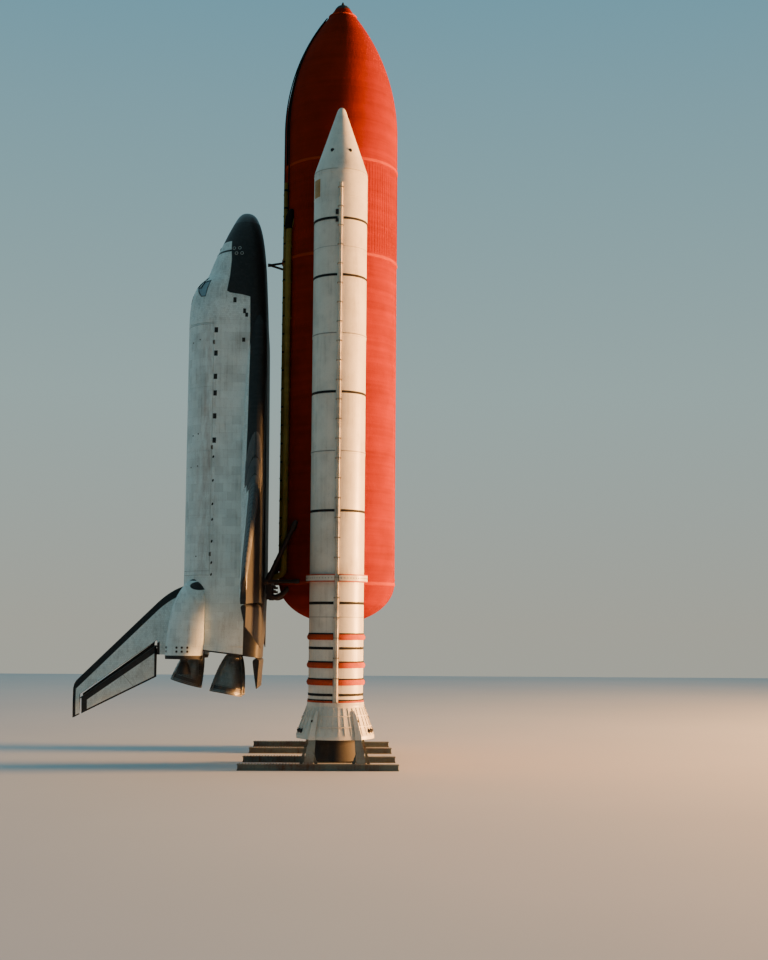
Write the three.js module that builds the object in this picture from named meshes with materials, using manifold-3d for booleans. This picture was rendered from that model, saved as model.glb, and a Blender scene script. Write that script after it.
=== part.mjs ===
// Space shuttle on its hold-down haunches: orbiter, external tank and two solid boosters, half size.
// Every table is in inches on the full-size vehicle's own station axes, and the root group turns them
// into millimetres at model size. +Z is up, the orbiter is on the -X side, its right wing on the -Y side.
import * as THREE from "three";
import { mergeVertices } from "three/addons/utils/BufferGeometryUtils.js";
import Module from "manifold-3d";

// Driving dimensions
const modelScale = 0.5;
const millimetresPerInch = 25.4 * modelScale;
const seam = 0.03; // gap between pieces that touch
const running = 0.5; // gap beside a piece that moves
const tankRadius = 165.5;
const boosterRadius = 73;
const boosterSpacing = 250.5; // booster axis from the tank's axis
const boosterOffset = 543; // tank station of booster station 0
const orbiterOffset = 741; // tank station of orbiter station 0
const orbiterRise = 336.5; // orbiter reference line from the tank's axis
const referenceLine = 400; // orbiter height station of that line
const skirtFoot = 1933; // booster station of the hold-down feet
const haunchHeight = 76;
const floorStation = skirtFoot + boosterOffset + haunchHeight;

const wasm = await Module();
wasm.setup();

// Finishes
const finish = (color, roughness, metalness = 0) =>
  new THREE.MeshStandardMaterial({ color, roughness, metalness });
const whiteTile = finish(0xd9dcd8, 0.8);
const blackTile = finish(0x16171a, 0.7);
const greyCarbon = finish(0x4a4d50, 0.6);
const orangeFoam = finish(0xc4521f, 0.9);
const boosterWhite = finish(0xe4e2da, 0.6);
const bareMetal = finish(0x8a8c8e, 0.35, 0.9);
const darkMetal = finish(0x3b3a38, 0.5, 0.8);
const platformGrey = finish(0x6c7472, 0.7, 0.3);
const glass = finish(0x10161c, 0.1);

// Solids from three.js geometry, and back again
function solid(geometry) {
  const bare = geometry.clone();
  bare.deleteAttribute("normal");
  bare.deleteAttribute("uv");
  const merged = mergeVertices(bare, 1e-4);
  const corners = merged.index.array;
  const kept = [];
  for (let i = 0; i < corners.length; i += 3) {
    const [a, b, c] = corners.slice(i, i + 3);
    if (a !== b && b !== c && c !== a) kept.push([a, b, c]);
  }
  const build = (triangles) =>
    new wasm.Manifold(
      new wasm.Mesh({
        numProp: 3,
        vertProperties: merged.attributes.position.array,
        triVerts: new Uint32Array(triangles.flat()),
      }),
    );
  const made = build(kept);
  return made.volume() < 0 ? build(kept.map(([a, b, c]) => [a, c, b])) : made;
}

function geometryOf(body) {
  const mesh = body.getMesh();
  const points = new Float32Array(mesh.numVert * 3);
  for (let i = 0; i < mesh.numVert; i++)
    points.set(mesh.vertProperties.subarray(i * mesh.numProp, i * mesh.numProp + 3), i * 3);
  return new THREE.BufferGeometry()
    .setAttribute("position", new THREE.BufferAttribute(points, 3))
    .setIndex(new THREE.BufferAttribute(mesh.triVerts, 1));
}

function piece(name, body, material, group) {
  const mesh = new THREE.Mesh(geometryOf(body), material);
  mesh.name = name;
  group.add(mesh);
  return mesh;
}

const join = (...bodies) => bodies.reduce((a, b) => a.add(b));

// A box from its lowest to its highest corner
function block(low, high) {
  const size = high.map((h, k) => h - low[k]);
  const geometry = new THREE.BoxGeometry(...size);
  geometry.translate(...low.map((l, k) => l + size[k] / 2));
  return solid(geometry);
}

// A round bar between two points, which may taper
function bar(from, to, radius, endRadius = radius, sides = 8) {
  const a = new THREE.Vector3(...from);
  const b = new THREE.Vector3(...to);
  const length = a.distanceTo(b);
  const geometry = new THREE.CylinderGeometry(endRadius, radius, length, sides);
  const turn = new THREE.Quaternion().setFromUnitVectors(
    new THREE.Vector3(0, 1, 0),
    b.clone().sub(a).normalize(),
  );
  geometry.applyQuaternion(turn);
  geometry.translate(...a.add(b).multiplyScalar(0.5).toArray());
  return solid(geometry);
}

// A body moved by a matrix
const moved = (body, matrix) => solid(geometryOf(body).applyMatrix4(matrix));
const shift = (x, y, z) => new THREE.Matrix4().makeTranslation(x, y, z);

// A ball that a nozzle swings on, with its poles along the nozzle's own +Z
function ball(radius, matrix) {
  const geometry = new THREE.SphereGeometry(radius, 12, 8);
  geometry.rotateX(Math.PI / 2);
  geometry.applyMatrix4(matrix);
  return solid(geometry);
}

// A turned body about +Z from rows of [station, radius], where stations run downwards
function turned(rows, sides) {
  const profile = rows.map(([station, radius]) => new THREE.Vector2(radius, -station));
  const geometry = new THREE.LatheGeometry(profile, sides);
  geometry.rotateX(Math.PI / 2);
  return solid(geometry);
}

// A skin through rings with the same number of points, closed by a fan at each end
function loft(rings) {
  const count = rings[0].length;
  const points = rings.flat();
  const triangles = [];
  for (let r = 0; r + 1 < rings.length; r++)
    for (let i = 0; i < count; i++) {
      const j = (i + 1) % count;
      const a = r * count + i;
      const b = r * count + j;
      triangles.push(a, b, a + count, b, b + count, a + count);
    }
  const cap = (first, flip) => {
    const ring = points.slice(first, first + count);
    const middle = ring.reduce((sum, p) => sum.map((s, k) => s + p[k] / count), [0, 0, 0]);
    const hub = points.push(middle) - 1;
    for (let i = 0; i < count; i++) {
      const a = first + i;
      const b = first + ((i + 1) % count);
      triangles.push(hub, ...(flip ? [a, b] : [b, a]));
    }
  };
  cap((rings.length - 1) * count, true);
  cap(0, false);
  const geometry = new THREE.BufferGeometry()
    .setAttribute("position", new THREE.Float32BufferAttribute(points.flat(), 3))
    .setIndex(triangles);
  return solid(geometry);
}

// A prism from an outline of [station, height] across the orbiter
function prism(outline, from, to) {
  return loft([from, to].map((y) => outline.map(([x, z]) => [x, y, z])));
}

const degrees = (angle) => (angle * Math.PI) / 180;

const stack = new THREE.Group();
const tank = new THREE.Group();
tank.position.z = floorStation;
const orbiter = new THREE.Group();
orbiter.applyMatrix4(
  new THREE.Matrix4()
    .makeBasis(new THREE.Vector3(0, 0, -1), new THREE.Vector3(0, -1, 0), new THREE.Vector3(-1, 0, 0))
    .setPosition(referenceLine - orbiterRise, 0, floorStation - orbiterOffset),
);
stack.add(tank, orbiter);

// External tank: rows of [tank station, radius]
const tankSides = 36;
const spikeTip = 322.5;
const ogiveTop = 371;
const ogiveFoot = 745;
const intertankTop = 852.8;
const intertankFoot = 1129.9;
const domeTop = 2058;
const domeFoot = 2173;
const ogiveRadius = 613; // radius of the arc that makes the ogive
const ogive = (station) =>
  Math.sqrt(ogiveRadius ** 2 - (ogiveFoot - station) ** 2) - (ogiveRadius - tankRadius);
const steps = (count, from, to) =>
  Array.from({ length: count + 1 }, (_, i) => from + ((to - from) * i) / count);

const spike = turned(
  [
    [spikeTip, 0],
    [spikeTip + 1, 2.2],
    [334, 6],
    [337, 15],
    [350, 24.5],
    [ogiveTop - seam, ogive(ogiveTop)],
    [ogiveTop - seam, 0],
  ],
  24,
);
piece("tank_nose_spike", spike, darkMetal, tank);

const oxygenTank = turned(
  [
    [ogiveTop, 0],
    ...steps(7, ogiveTop, ogiveFoot).map((s) => [s, ogive(s)]),
    [intertankTop - seam, tankRadius],
    [intertankTop - seam, 0],
  ],
  tankSides,
);
piece("oxygen_tank", oxygenTank, orangeFoam, tank);

// The intertank carries the thrust beam's ball fitting to each booster
const flangeRise = 1.6; // of the intertank's stringers over the tank's skin
const fitting = { station: 985.7, plateHalf: [16, 20], plateOut: 172, boltHalf: 9, root: 155 };
const fittingReach = boosterSpacing - boosterRadius - 2.2; // ends just short of the booster
const across = (side, near, distant) => (side > 0 ? [near, distant] : [-distant, -near]);
function forwardFitting(side) {
  const [plateLow, plateHigh] = across(side, fitting.root, fitting.plateOut);
  const [boltLow, boltHigh] = across(side, fitting.root, fittingReach);
  const [wide, tall] = fitting.plateHalf;
  const half = fitting.boltHalf;
  return join(
    block([-wide, plateLow, -fitting.station - tall], [wide, plateHigh, -fitting.station + tall]),
    block([-half, boltLow, -fitting.station - half], [half, boltHigh, -fitting.station + half]),
  );
}
const intertank = turned(
  [
    [intertankTop, 0],
    [intertankTop, tankRadius],
    [intertankTop + 8, tankRadius + flangeRise],
    [intertankFoot - 8, tankRadius + flangeRise],
    [intertankFoot - seam, tankRadius],
    [intertankFoot - seam, 0],
  ],
  tankSides,
);
piece("intertank", join(intertank, forwardFitting(1), forwardFitting(-1)), orangeFoam, tank);

const dome = (station) =>
  tankRadius * Math.sqrt(1 - ((station - domeTop) / (domeFoot - domeTop)) ** 2);
const hydrogenTank = turned(
  [
    [intertankFoot, 0],
    [intertankFoot, tankRadius],
    [domeTop, tankRadius],
    ...[0.4, 0.66, 0.86, 0.97].map((share) => {
      const station = domeTop + share * (domeFoot - domeTop);
      return [station, dome(station)];
    }),
    [domeFoot, 0],
  ],
  tankSides,
);
piece("hydrogen_tank", hydrogenTank, orangeFoam, tank);

// Feedline, cable tray and bipod on the tank's orbiter side
const feedlineAngle = degrees(33); // from the orbiter's side towards the right wing
const feedlineReach = tankRadius + 11.5;
const feedlineRadius = 8.5;
const feedlineTop = 1010; // station where the line leaves the intertank
const feedlineFoot = 2040;
const feedlineEnd = [-194, -76, -2062]; // at the right umbilical
const around = (reach, angle, station) => [
  -reach * Math.cos(angle),
  -reach * Math.sin(angle),
  -station,
];
const feedlineAt = (station, inward = 0) =>
  around(feedlineReach - inward, feedlineAngle, station);
const feedline = join(
  bar(feedlineAt(feedlineTop + 50), feedlineAt(feedlineFoot), feedlineRadius),
  bar(feedlineAt(feedlineTop, 16), feedlineAt(feedlineTop + 52), feedlineRadius),
  bar(feedlineAt(feedlineFoot - 6), feedlineEnd, feedlineRadius),
);
const beamHalf = 7; // of the crossbeam that the line ends on, along the tank
const belowFeedline = block([-300, -200, -domeTop - 60], [0, 0, beamHalf + seam - domeTop]);
const intertankKeepOut = turned(
  [
    [intertankTop, 0],
    [intertankTop, tankRadius + flangeRise + seam],
    [intertankFoot, tankRadius + flangeRise + seam],
    [intertankFoot, 0],
  ],
  tankSides,
);
piece(
  "oxygen_feedline",
  feedline.subtract(belowFeedline).subtract(intertankKeepOut),
  orangeFoam,
  tank,
);

const trayAngle = degrees(20);
const traySize = [8, 10]; // away from the tank, along the skin
const trayEnds = [900, 2020];
const trayGeometry = new THREE.BoxGeometry(...traySize, trayEnds[1] - trayEnds[0]);
trayGeometry.rotateZ(trayAngle);
const trayReach = tankRadius + flangeRise + 2 * seam + traySize[0] / 2;
trayGeometry.translate(...around(trayReach, trayAngle, (trayEnds[0] + trayEnds[1]) / 2));
piece("cable_tray", solid(trayGeometry), orangeFoam, tank);

// Boosters: rows of [booster station, radius]
const boosterSides = 24;
const coneTop = 200;
const coneFoot = 392;
const skirtTop = 1837;
const caseTop = 531.5;
const ringStation = 1511;
const ringRise = 10; // of the attach ring over the case
const skirtLip = 104; // outer radius at the skirt's foot
const nozzlePivot = 1868;
const nozzleBall = 15;
const nozzleExit = 1990;
const stiffeners = [1668, 1748, 1794];
const stiffenerHalf = 6;
const stiffenerRise = 2.6;
const footHalf = [60, 86]; // hold-down foot from the booster's axis, along X and Y
const footWidth = 18;
const footHeight = 14;

function boosterCase() {
  const rows = [
    [caseTop, 0],
    [caseTop, boosterRadius],
  ];
  for (const stiffener of stiffeners)
    rows.push(
      [stiffener - stiffenerHalf, boosterRadius],
      [stiffener - stiffenerHalf, boosterRadius + stiffenerRise],
      [stiffener + stiffenerHalf, boosterRadius + stiffenerRise],
      [stiffener + stiffenerHalf, boosterRadius],
    );
  rows.push([skirtTop - seam, boosterRadius], [skirtTop - seam, 0]);
  return turned(rows, boosterSides);
}

function booster(side) {
  const name = side > 0 ? "left" : "right";
  const group = new THREE.Group();
  group.position.set(0, side * boosterSpacing, floorStation - boosterOffset);
  stack.add(group);
  const cone = turned(
    [
      [coneTop, 0],
      [coneTop + 1.5, 5],
      [coneTop + 6, 9.5],
      [coneTop + 14, 13],
      [coneFoot, boosterRadius],
      [coneFoot + 6, boosterRadius],
      [coneFoot + 6, 0],
    ],
    boosterSides,
  );
  piece(`booster_nose_cone_${name}`, cone, boosterWhite, group);
  const forwardSkirt = turned(
    [
      [coneFoot + 6 + seam, 0],
      [coneFoot + 6 + seam, boosterRadius + 0.6],
      [caseTop - seam, boosterRadius + 0.6],
      [caseTop - seam, 0],
    ],
    boosterSides,
  );
  piece(`booster_forward_skirt_${name}`, forwardSkirt, boosterWhite, group);

  // The tunnel runs down the outboard side, over the case and through the attach ring's gap
  const tunnelHalf = 5;
  const tunnelTop = 436;
  const tunnelReach = boosterRadius + 8;
  const [tunnelLow, tunnelHigh] = across(side, boosterRadius - 4, tunnelReach);
  const tunnelBody = block(
    [-tunnelHalf, tunnelLow, -skirtTop],
    [tunnelHalf, tunnelHigh, -tunnelTop],
  );
  const keepOut = turned(
    [
      [tunnelTop - 4, 0],
      [tunnelTop - 4, boosterRadius + 3.2],
      [skirtTop + 4, boosterRadius + 3.2],
      [skirtTop + 4, 0],
    ],
    boosterSides,
  );
  piece(`systems_tunnel_${name}`, tunnelBody.subtract(keepOut), boosterWhite, group);
  piece(`booster_motor_case_${name}`, boosterCase(), boosterWhite, group);

  // The attach ring is open at the tunnel, so that the tunnel passes through
  const ringHalf = 7;
  const ringRows = [
    [ringStation - ringHalf, boosterRadius + 2 * seam],
    [ringStation - ringHalf, boosterRadius + ringRise],
    [ringStation + ringHalf, boosterRadius + ringRise],
    [ringStation + ringHalf, boosterRadius + 2 * seam],
    [ringStation - ringHalf, boosterRadius + 2 * seam],
  ];
  const [slotLow, slotHigh] = across(side, boosterRadius - 4, boosterRadius + 2 * ringRise);
  const slot = block(
    [-tunnelHalf - seam, slotLow, -ringStation - 2 * ringHalf],
    [tunnelHalf + seam, slotHigh, -ringStation + 2 * ringHalf],
  );
  piece(`attach_ring_${name}`, turned(ringRows, boosterSides).subtract(slot), boosterWhite, group);

  // The aft skirt flares out round the nozzle and stands on four hold-down feet
  const skirtWall = 3;
  const skirtShell = turned(
    [
      [skirtTop, 0],
      [skirtTop, boosterRadius + 1],
      [skirtTop + 10, boosterRadius + 2],
      [skirtFoot - 6, skirtLip],
      [skirtFoot, skirtLip],
      [skirtFoot, skirtLip - skirtWall],
      [nozzlePivot - nozzleBall - seam, boosterRadius + 1 - skirtWall],
      [nozzlePivot - nozzleBall - seam, 0],
    ],
    boosterSides,
  );
  const feet = [];
  for (const sx of [-1, 1])
    for (const sy of [-1, 1]) {
      const [fx, fy] = [sx * footHalf[0], sy * footHalf[1]];
      const half = footWidth / 2;
      const low = [fx - half, fy - half, -skirtFoot];
      feet.push(block(low, [fx + half, fy + half, footHeight - skirtFoot]));
      const top = [sx * 47, sy * 67, -skirtTop - 22];
      feet.push(bar([fx, fy, 10 - skirtFoot], top, 8, 5, 8));
    }
  piece(`aft_skirt_${name}`, join(skirtShell, ...feet), boosterWhite, group);

  piece(`nozzle_bearing_${name}`, ball(nozzleBall, shift(0, 0, -nozzlePivot)), darkMetal, group);
  const nozzleFront = nozzlePivot + nozzleBall + seam;
  const nozzle = turned(
    [
      [nozzleFront, 0],
      [nozzleFront, 44],
      [1930, 61],
      [nozzleExit, 74.8],
      [nozzleExit, 71.8],
      [1930, 57.5],
      [1897, 43],
      [1897, 0],
    ],
    boosterSides,
  );
  piece(`booster_nozzle_${name}`, nozzle, darkMetal, group);

  // Haunches: one beam with two hold-down posts on each side of the nozzle
  for (const row of [-1, 1]) {
    const beamHeight = 16;
    const [beamFront, beamBack] = [-252, 166]; // along the flame hole, from the orbiter's side
    const [beamLow, beamHigh] = across(row, 100, 124);
    const floor = -skirtFoot - haunchHeight;
    const beam = block([beamFront, beamLow, floor], [beamBack, beamHigh, floor + beamHeight]);
    const posts = [-1, 1].map((sx) => {
      const [px, py] = [sx * footHalf[0], row * footHalf[1]];
      const square = [
        [-1, -1],
        [1, -1],
        [1, 1],
        [-1, 1],
      ];
      const ring = (half, z, out) =>
        square.map(([a, b]) => [px + sx * out + a * half, py + row * out * 2.5 + b * half, z]);
      const head = ring(footWidth / 2, -skirtFoot - seam, 0);
      return loft([head, ring(14, floor + beamHeight - 1, 8)]);
    });
    const where = (row > 0) === (side > 0) ? "outer" : "inner";
    piece(`holddown_haunch_${name}_${where}`, join(beam, ...posts), platformGrey, group);
  }
}
booster(1);
booster(-1);

// Orbiter body: rows of station, half width, bottom, top, widest height, fullness above and below
const bodyRows = [
  [236.5, 4, 333, 341, 337, 2, 2],
  [240, 18, 321, 352, 337, 2, 2],
  [248, 31.5, 311, 361, 336, 2, 2],
  [260, 45, 304, 369, 336, 2, 2.1],
  [275, 56, 298, 377, 336, 2, 2.2],
  [300, 70, 291, 390, 337, 2, 2.4],
  [340, 82, 284.5, 409, 340, 2, 2.7],
  [395, 91.5, 279, 434, 346, 2, 3],
  [435, 96, 276.5, 450, 354, 2, 3.3],
  [458, 98, 275.5, 474, 362, 2, 3.6],
  [482, 100, 274.5, 488, 370, 2, 3.9],
  [514, 102, 273, 496, 382, 2, 4.4],
  [545, 104, 272, 499, 393, 2, 5],
  [576, 105, 271, 500, 400, 2, 6],
  [640, 105, 269, 500, 400, 2, 20],
  [1040, 105, 266, 500, 400, 2, 20],
  [1307, 105, 265, 500, 400, 2, 20],
  [1387, 105, 267, 502, 392, 2.1, 14],
  [1460, 110, 270, 508, 380, 2.3, 9],
  [1526, 116, 275, 514, 360, 2.6, 7],
  [1532, 116, 275, 514, 360, 2.6, 7],
];
const baseLean = 28; // the top of the base is this much further forward than its foot
const baseFoot = 275;
const baseHead = 514;
const leanFrom = 1500; // station past which a ring leans
const bodySides = 32;
function bodyRing([station, half, bottom, top, widest, above, below], inset = 0) {
  return Array.from({ length: bodySides }, (_, i) => {
    const angle = (2 * Math.PI * (i + 0.5)) / bodySides;
    const [c, s] = [Math.cos(angle), Math.sin(angle)];
    const power = 2 / (s > 0 ? above : below);
    const rise = s > 0 ? top - widest : widest - bottom;
    const height = widest + (rise - inset) * Math.sign(s) * Math.abs(s) ** power;
    const lean = station > leanFrom ? (baseLean * (height - baseFoot)) / (baseHead - baseFoot) : 0;
    return [station - lean, (half - inset) * Math.sign(c) * Math.abs(c) ** power, height];
  });
}
function bodyRow(station) {
  const next = bodyRows.findIndex((row) => row[0] >= station);
  if (bodyRows[next][0] === station) return bodyRows[next];
  const [before, after] = [bodyRows[next - 1], bodyRows[next]];
  const share = (station - before[0]) / (after[0] - before[0]);
  return before.map((value, k) => value + share * (after[k] - value));
}
function body(from, to, inset = 0) {
  const inside = bodyRows.filter((row) => row[0] > from && row[0] < to);
  return loft([bodyRow(from), ...inside, bodyRow(to)].map((row) => bodyRing(row, inset)));
}

const capFoot = 275;
const bayFront = 576;
const bayAft = 1307;
const baseStation = 1526;
const cabinWall = 6;
const far = 400; // past any part of the orbiter

piece("nose_cap", body(bodyRows[0][0], capFoot - seam), greyCarbon, orbiter);

// Forward fuselage: a hollow cabin with its windows and the side hatch cut, solid ahead of it
const cabinFront = 412;
const cabinAft = bayFront - 5;
const cabin = body(cabinFront, cabinAft, cabinWall);
const windows = [
  // station, y, z, width, height, turn away from the centreline, lean back
  [452, 14, 464, 23, 27, 10, 42],
  [456, 42, 457, 22, 27, 32, 42],
  [470, 66, 447, 26, 26, 62, 40],
  [500, 16, 490, 20, 16, 6, 84],
];
function windowCutter([station, y, z, width, height, away, lean], side) {
  const geometry = new THREE.BoxGeometry(30, width, height);
  geometry.rotateY(degrees(lean));
  geometry.rotateZ(degrees(-side * away));
  geometry.translate(station, side * y, z);
  return solid(geometry);
}
const windowCutters = windows.flatMap((row) => [windowCutter(row, 1), windowCutter(row, -1)]);
const hatch = { station: 506, height: 372, radius: 20, taper: 0.15, skin: 102 };
const hatchGap = 0.45;
const hatchCutter = (radius) =>
  bar(
    [hatch.station, -hatch.skin - 10, hatch.height],
    [hatch.station, 14 - hatch.skin, hatch.height],
    radius + 10 * hatch.taper,
    radius - 14 * hatch.taper,
    24,
  );
const hatchHinge = { y: -102.85, height: 350.9, radius: 1.5, half: 1.5, strap: 5 };
const hatchSide = -101.5; // outside of the fuselage beside the knuckle
const hatchKnuckle = join(
  bar(
    [hatch.station - hatchHinge.half, hatchHinge.y, hatchHinge.height],
    [hatch.station + hatchHinge.half, hatchHinge.y, hatchHinge.height],
    hatchHinge.radius,
  ),
  block(
    [hatch.station - hatchHinge.half, hatchHinge.y - 1, hatchHinge.height],
    [hatch.station + hatchHinge.half, hatchHinge.y + 2.4, hatchHinge.height + hatchHinge.strap],
  ).subtract(block([0, hatchSide, 0], [far * 2, 0, hatch.height - hatch.radius + 0.6])),
);
const forwardSolid = body(capFoot, bayFront - seam);
const forwardShell = forwardSolid.subtract(cabin);
piece(
  "forward_fuselage",
  windowCutters.reduce(
    (shell, cutter) => shell.subtract(cutter),
    forwardShell.subtract(hatchCutter(hatch.radius + hatchGap)),
  ),
  whiteTile,
  orbiter,
);
const hatchPanel = forwardShell.intersect(hatchCutter(hatch.radius));
piece("side_hatch", join(hatchPanel, hatchKnuckle), whiteTile, orbiter);
const paneRegion = block([440, -far, 428], [514, far, far * 2]);
const panes = body(cabinFront + 2, cabinAft - 2, cabinWall + 0.05)
  .subtract(body(cabinFront, cabinAft, cabinWall + 2))
  .intersect(paneRegion);
piece("windshield_panes", panes, glass, orbiter);

// Mid fuselage: an open bay under two long doors
const sill = 420;
const bayRadius = 93;
const bayCutter = join(
  bar([bayFront + 6, 0, referenceLine], [bayAft - 6, 0, referenceLine], bayRadius, bayRadius, 32),
  block([bayFront + 6, -bayRadius, referenceLine], [bayAft - 6, bayRadius, far * 2]),
);
const aboveSill = block([bayFront + 6, -far, sill - running], [bayAft - 6, far, far * 2]);
const doorHinge = { y: 103.6, height: 420.9, radius: 1.36 };
const doorHinges = [640, 941, 1242]; // stations
const sillLugs = doorHinges.flatMap((station) =>
  [-1, 1].map((side) =>
    block(
      [station - 6, side > 0 ? 99.5 : -104.2, sill - 4],
      [station + 6, side > 0 ? 104.2 : -99.5, sill - running],
    ),
  ),
);
piece(
  "mid_fuselage",
  join(body(bayFront, bayAft - seam).subtract(bayCutter).subtract(aboveSill), ...sillLugs),
  whiteTile,
  orbiter,
);
const doorWall = 5;
const doorRing = (inset) =>
  steps(10, Math.asin((sill - referenceLine) / 100), Math.PI / 2).map((angle) => [
    (105 - inset) * Math.cos(angle),
    referenceLine + (100 - inset) * Math.sin(angle),
  ]);
function doorSolid(side) {
  const outer = doorRing(0);
  const inner = doorRing(doorWall).reverse();
  inner[0][0] = running / 2;
  outer[outer.length - 1][0] = running / 2;
  inner[inner.length - 1][1] = sill;
  const outline = [...outer, ...inner];
  const shape = new THREE.Shape(outline.map(([y, z]) => new THREE.Vector2(side * y, z)));
  const length = bayAft - bayFront - 12 - 2 * running;
  const geometry = new THREE.ExtrudeGeometry(shape, { depth: length, bevelEnabled: false });
  geometry.applyMatrix4(
    new THREE.Matrix4().makeBasis(
      new THREE.Vector3(0, 1, 0),
      new THREE.Vector3(0, 0, 1),
      new THREE.Vector3(1, 0, 0),
    ),
  );
  geometry.translate(bayFront + 6 + running, 0, 0);
  const knuckles = doorHinges.map((station) =>
    bar(
      [station - 5, side * doorHinge.y, doorHinge.height],
      [station + 5, side * doorHinge.y, doorHinge.height],
      doorHinge.radius,
      doorHinge.radius,
      16,
    ),
  );
  return join(solid(geometry), ...knuckles);
}
piece("payload_bay_door_right", doorSolid(1), whiteTile, orbiter);
piece("payload_bay_door_left", doorSolid(-1), whiteTile, orbiter);

// Main engines: rows of station along the engine from its gimbal, outer radius, inner radius
const engines = [
  // name, gimbal station, y, z, pitch up, turn out
  ["upper", 1445, 0, 443, 16, 0],
  ["right", 1468, 53, 342.6, 10, 3.5],
  ["left", 1468, -53, 342.6, 10, -3.5],
];
const bellRows = [
  [45, 9, 7],
  [58, 18.3, 16.3],
  [76, 26.8, 24.8],
  [110, 36.6, 34.6],
  [166, 46, 44],
];
const engineBall = 5.5;
const engineFrame = ([, station, y, z, pitch, out]) => {
  const along = new THREE.Vector3(
    Math.cos(degrees(pitch)) * Math.cos(degrees(out)),
    Math.sin(degrees(out)),
    Math.sin(degrees(pitch)),
  ).normalize();
  const across = new THREE.Vector3(0, 1, 0).cross(along).normalize();
  const turn = new THREE.Matrix4().makeBasis(across, along.clone().cross(across), along);
  return turn.setPosition(station, y, z);
};
function engineSolid(engine) {
  const outer = bellRows.map(([s, r]) => new THREE.Vector2(r, s));
  const inner = bellRows.map(([s, , r]) => new THREE.Vector2(r, s)).reverse();
  const profile = [
    new THREE.Vector2(0, engineBall + seam),
    new THREE.Vector2(12, engineBall + seam),
    new THREE.Vector2(14, 30),
    new THREE.Vector2(9, 38),
    ...outer,
    ...inner,
    new THREE.Vector2(0, 47),
  ];
  const geometry = new THREE.LatheGeometry(profile, 20);
  geometry.rotateX(Math.PI / 2);
  geometry.applyMatrix4(engineFrame(engine));
  return solid(geometry);
}
for (const engine of engines) {
  const name = engine[0];
  piece(`engine_gimbal_${name}`, ball(engineBall, engineFrame(engine)), darkMetal, orbiter);
  piece(`main_engine_${name}`, engineSolid(engine), bareMetal, orbiter);
}

// Aft fuselage with a square well for the upper engine, one for the lower two, and the engine mounts
const wellFloor = 1438;
const wells = [
  // half width, bottom, top
  [42, 421, 505],
  [94, 315, 391],
];
const wellCutters = wells.map(([half, bottom, top]) =>
  block([wellFloor, -half, bottom], [baseStation + 20, half, top]),
);
// A round mount from the well's floor to the ball that the engine swings on
function engineMount(engine) {
  const [, station, , , pitch] = engine;
  const end = engineBall + seam;
  const depth = (station - wellFloor) / Math.cos(degrees(pitch)) - end + 5;
  const geometry = new THREE.CylinderGeometry(4, 7, depth, 12);
  geometry.rotateX(Math.PI / 2);
  geometry.translate(0, 0, -end - depth / 2);
  geometry.applyMatrix4(engineFrame(engine));
  return solid(geometry);
}
const aftBody = body(bayAft, baseStation - seam);
const aftShell = wellCutters.reduce((a, b) => a.subtract(b), aftBody);
piece("aft_fuselage", join(aftShell, ...engines.map(engineMount)), whiteTile, orbiter);

// Heat shield on the base, with a round hole for each engine and the body flap's brackets
const shieldThickness = 4;
const shieldHoles = [
  // y, height, radius
  [0, 461, 47.5],
  [56.4, 353, 38],
  [-56.4, 353, 38],
].map(([y, z, radius]) => bar([baseStation - 60, y, z], [baseStation + 20, y, z], radius, radius, 32));
const baseRing = bodyRow(baseStation);
const shieldPlate = loft(
  [0, shieldThickness].map((s) => bodyRing([baseStation + s, ...baseRing.slice(1)])),
);
const flapHinge = { station: 1541, height: 285, radius: 9.5 };
const bracketHalf = 4;
const flapBrackets = [-84, -28, 28, 84].map((y) =>
  block(
    [baseStation + 1, y - bracketHalf, flapHinge.height - bracketHalf],
    [flapHinge.station - flapHinge.radius - seam, y + bracketHalf, flapHinge.height + bracketHalf],
  ),
);
piece(
  "base_heat_shield",
  join(shieldHoles.reduce((a, b) => a.subtract(b), shieldPlate), ...flapBrackets),
  blackTile,
  orbiter,
);

// Bipod and struts, in the tank's own axes, seated on the orbiter's belly
const bellyHeight = 265; // orbiter height station of the belly at the aft struts
const bellyX = -(bellyHeight + orbiterRise - referenceLine);
const orbiterInTank = shift(0, 0, -floorStation).multiply(orbiter.matrix);
const bellyKeepOut = (from, to) => moved(body(from, to, -seam), orbiterInTank);
const bipodHalf = 44;
const bipodFootX = -Math.sqrt((tankRadius + 1.6) ** 2 - bipodHalf ** 2);
const bipodTop = bellyX - 16;
const bipodDrop = 14; // of the legs' feet below the point where they meet
function bipodLeg(side) {
  const foot = [bipodFootX, side * bipodHalf, -intertankFoot - bipodDrop];
  return bar(foot, [bellyX + 4, 0, -intertankFoot], 3.4);
}
const tankClear = turned(
  [
    [intertankFoot - 60, 0],
    [intertankFoot - 60, tankRadius + flangeRise + seam],
    [intertankFoot, tankRadius + flangeRise + seam],
    [intertankFoot, tankRadius + seam],
    [intertankFoot + 60, tankRadius + seam],
    [intertankFoot + 60, 0],
  ],
  tankSides,
);
const bipod = join(
  bipodLeg(1),
  bipodLeg(-1),
  bar([bipodTop, 0, -intertankFoot], [bellyX + 12, 0, -intertankFoot], 6),
);
piece(
  "forward_bipod",
  bipod.subtract(tankClear).subtract(bellyKeepOut(300, 460)),
  darkMetal,
  tank,
);

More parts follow.
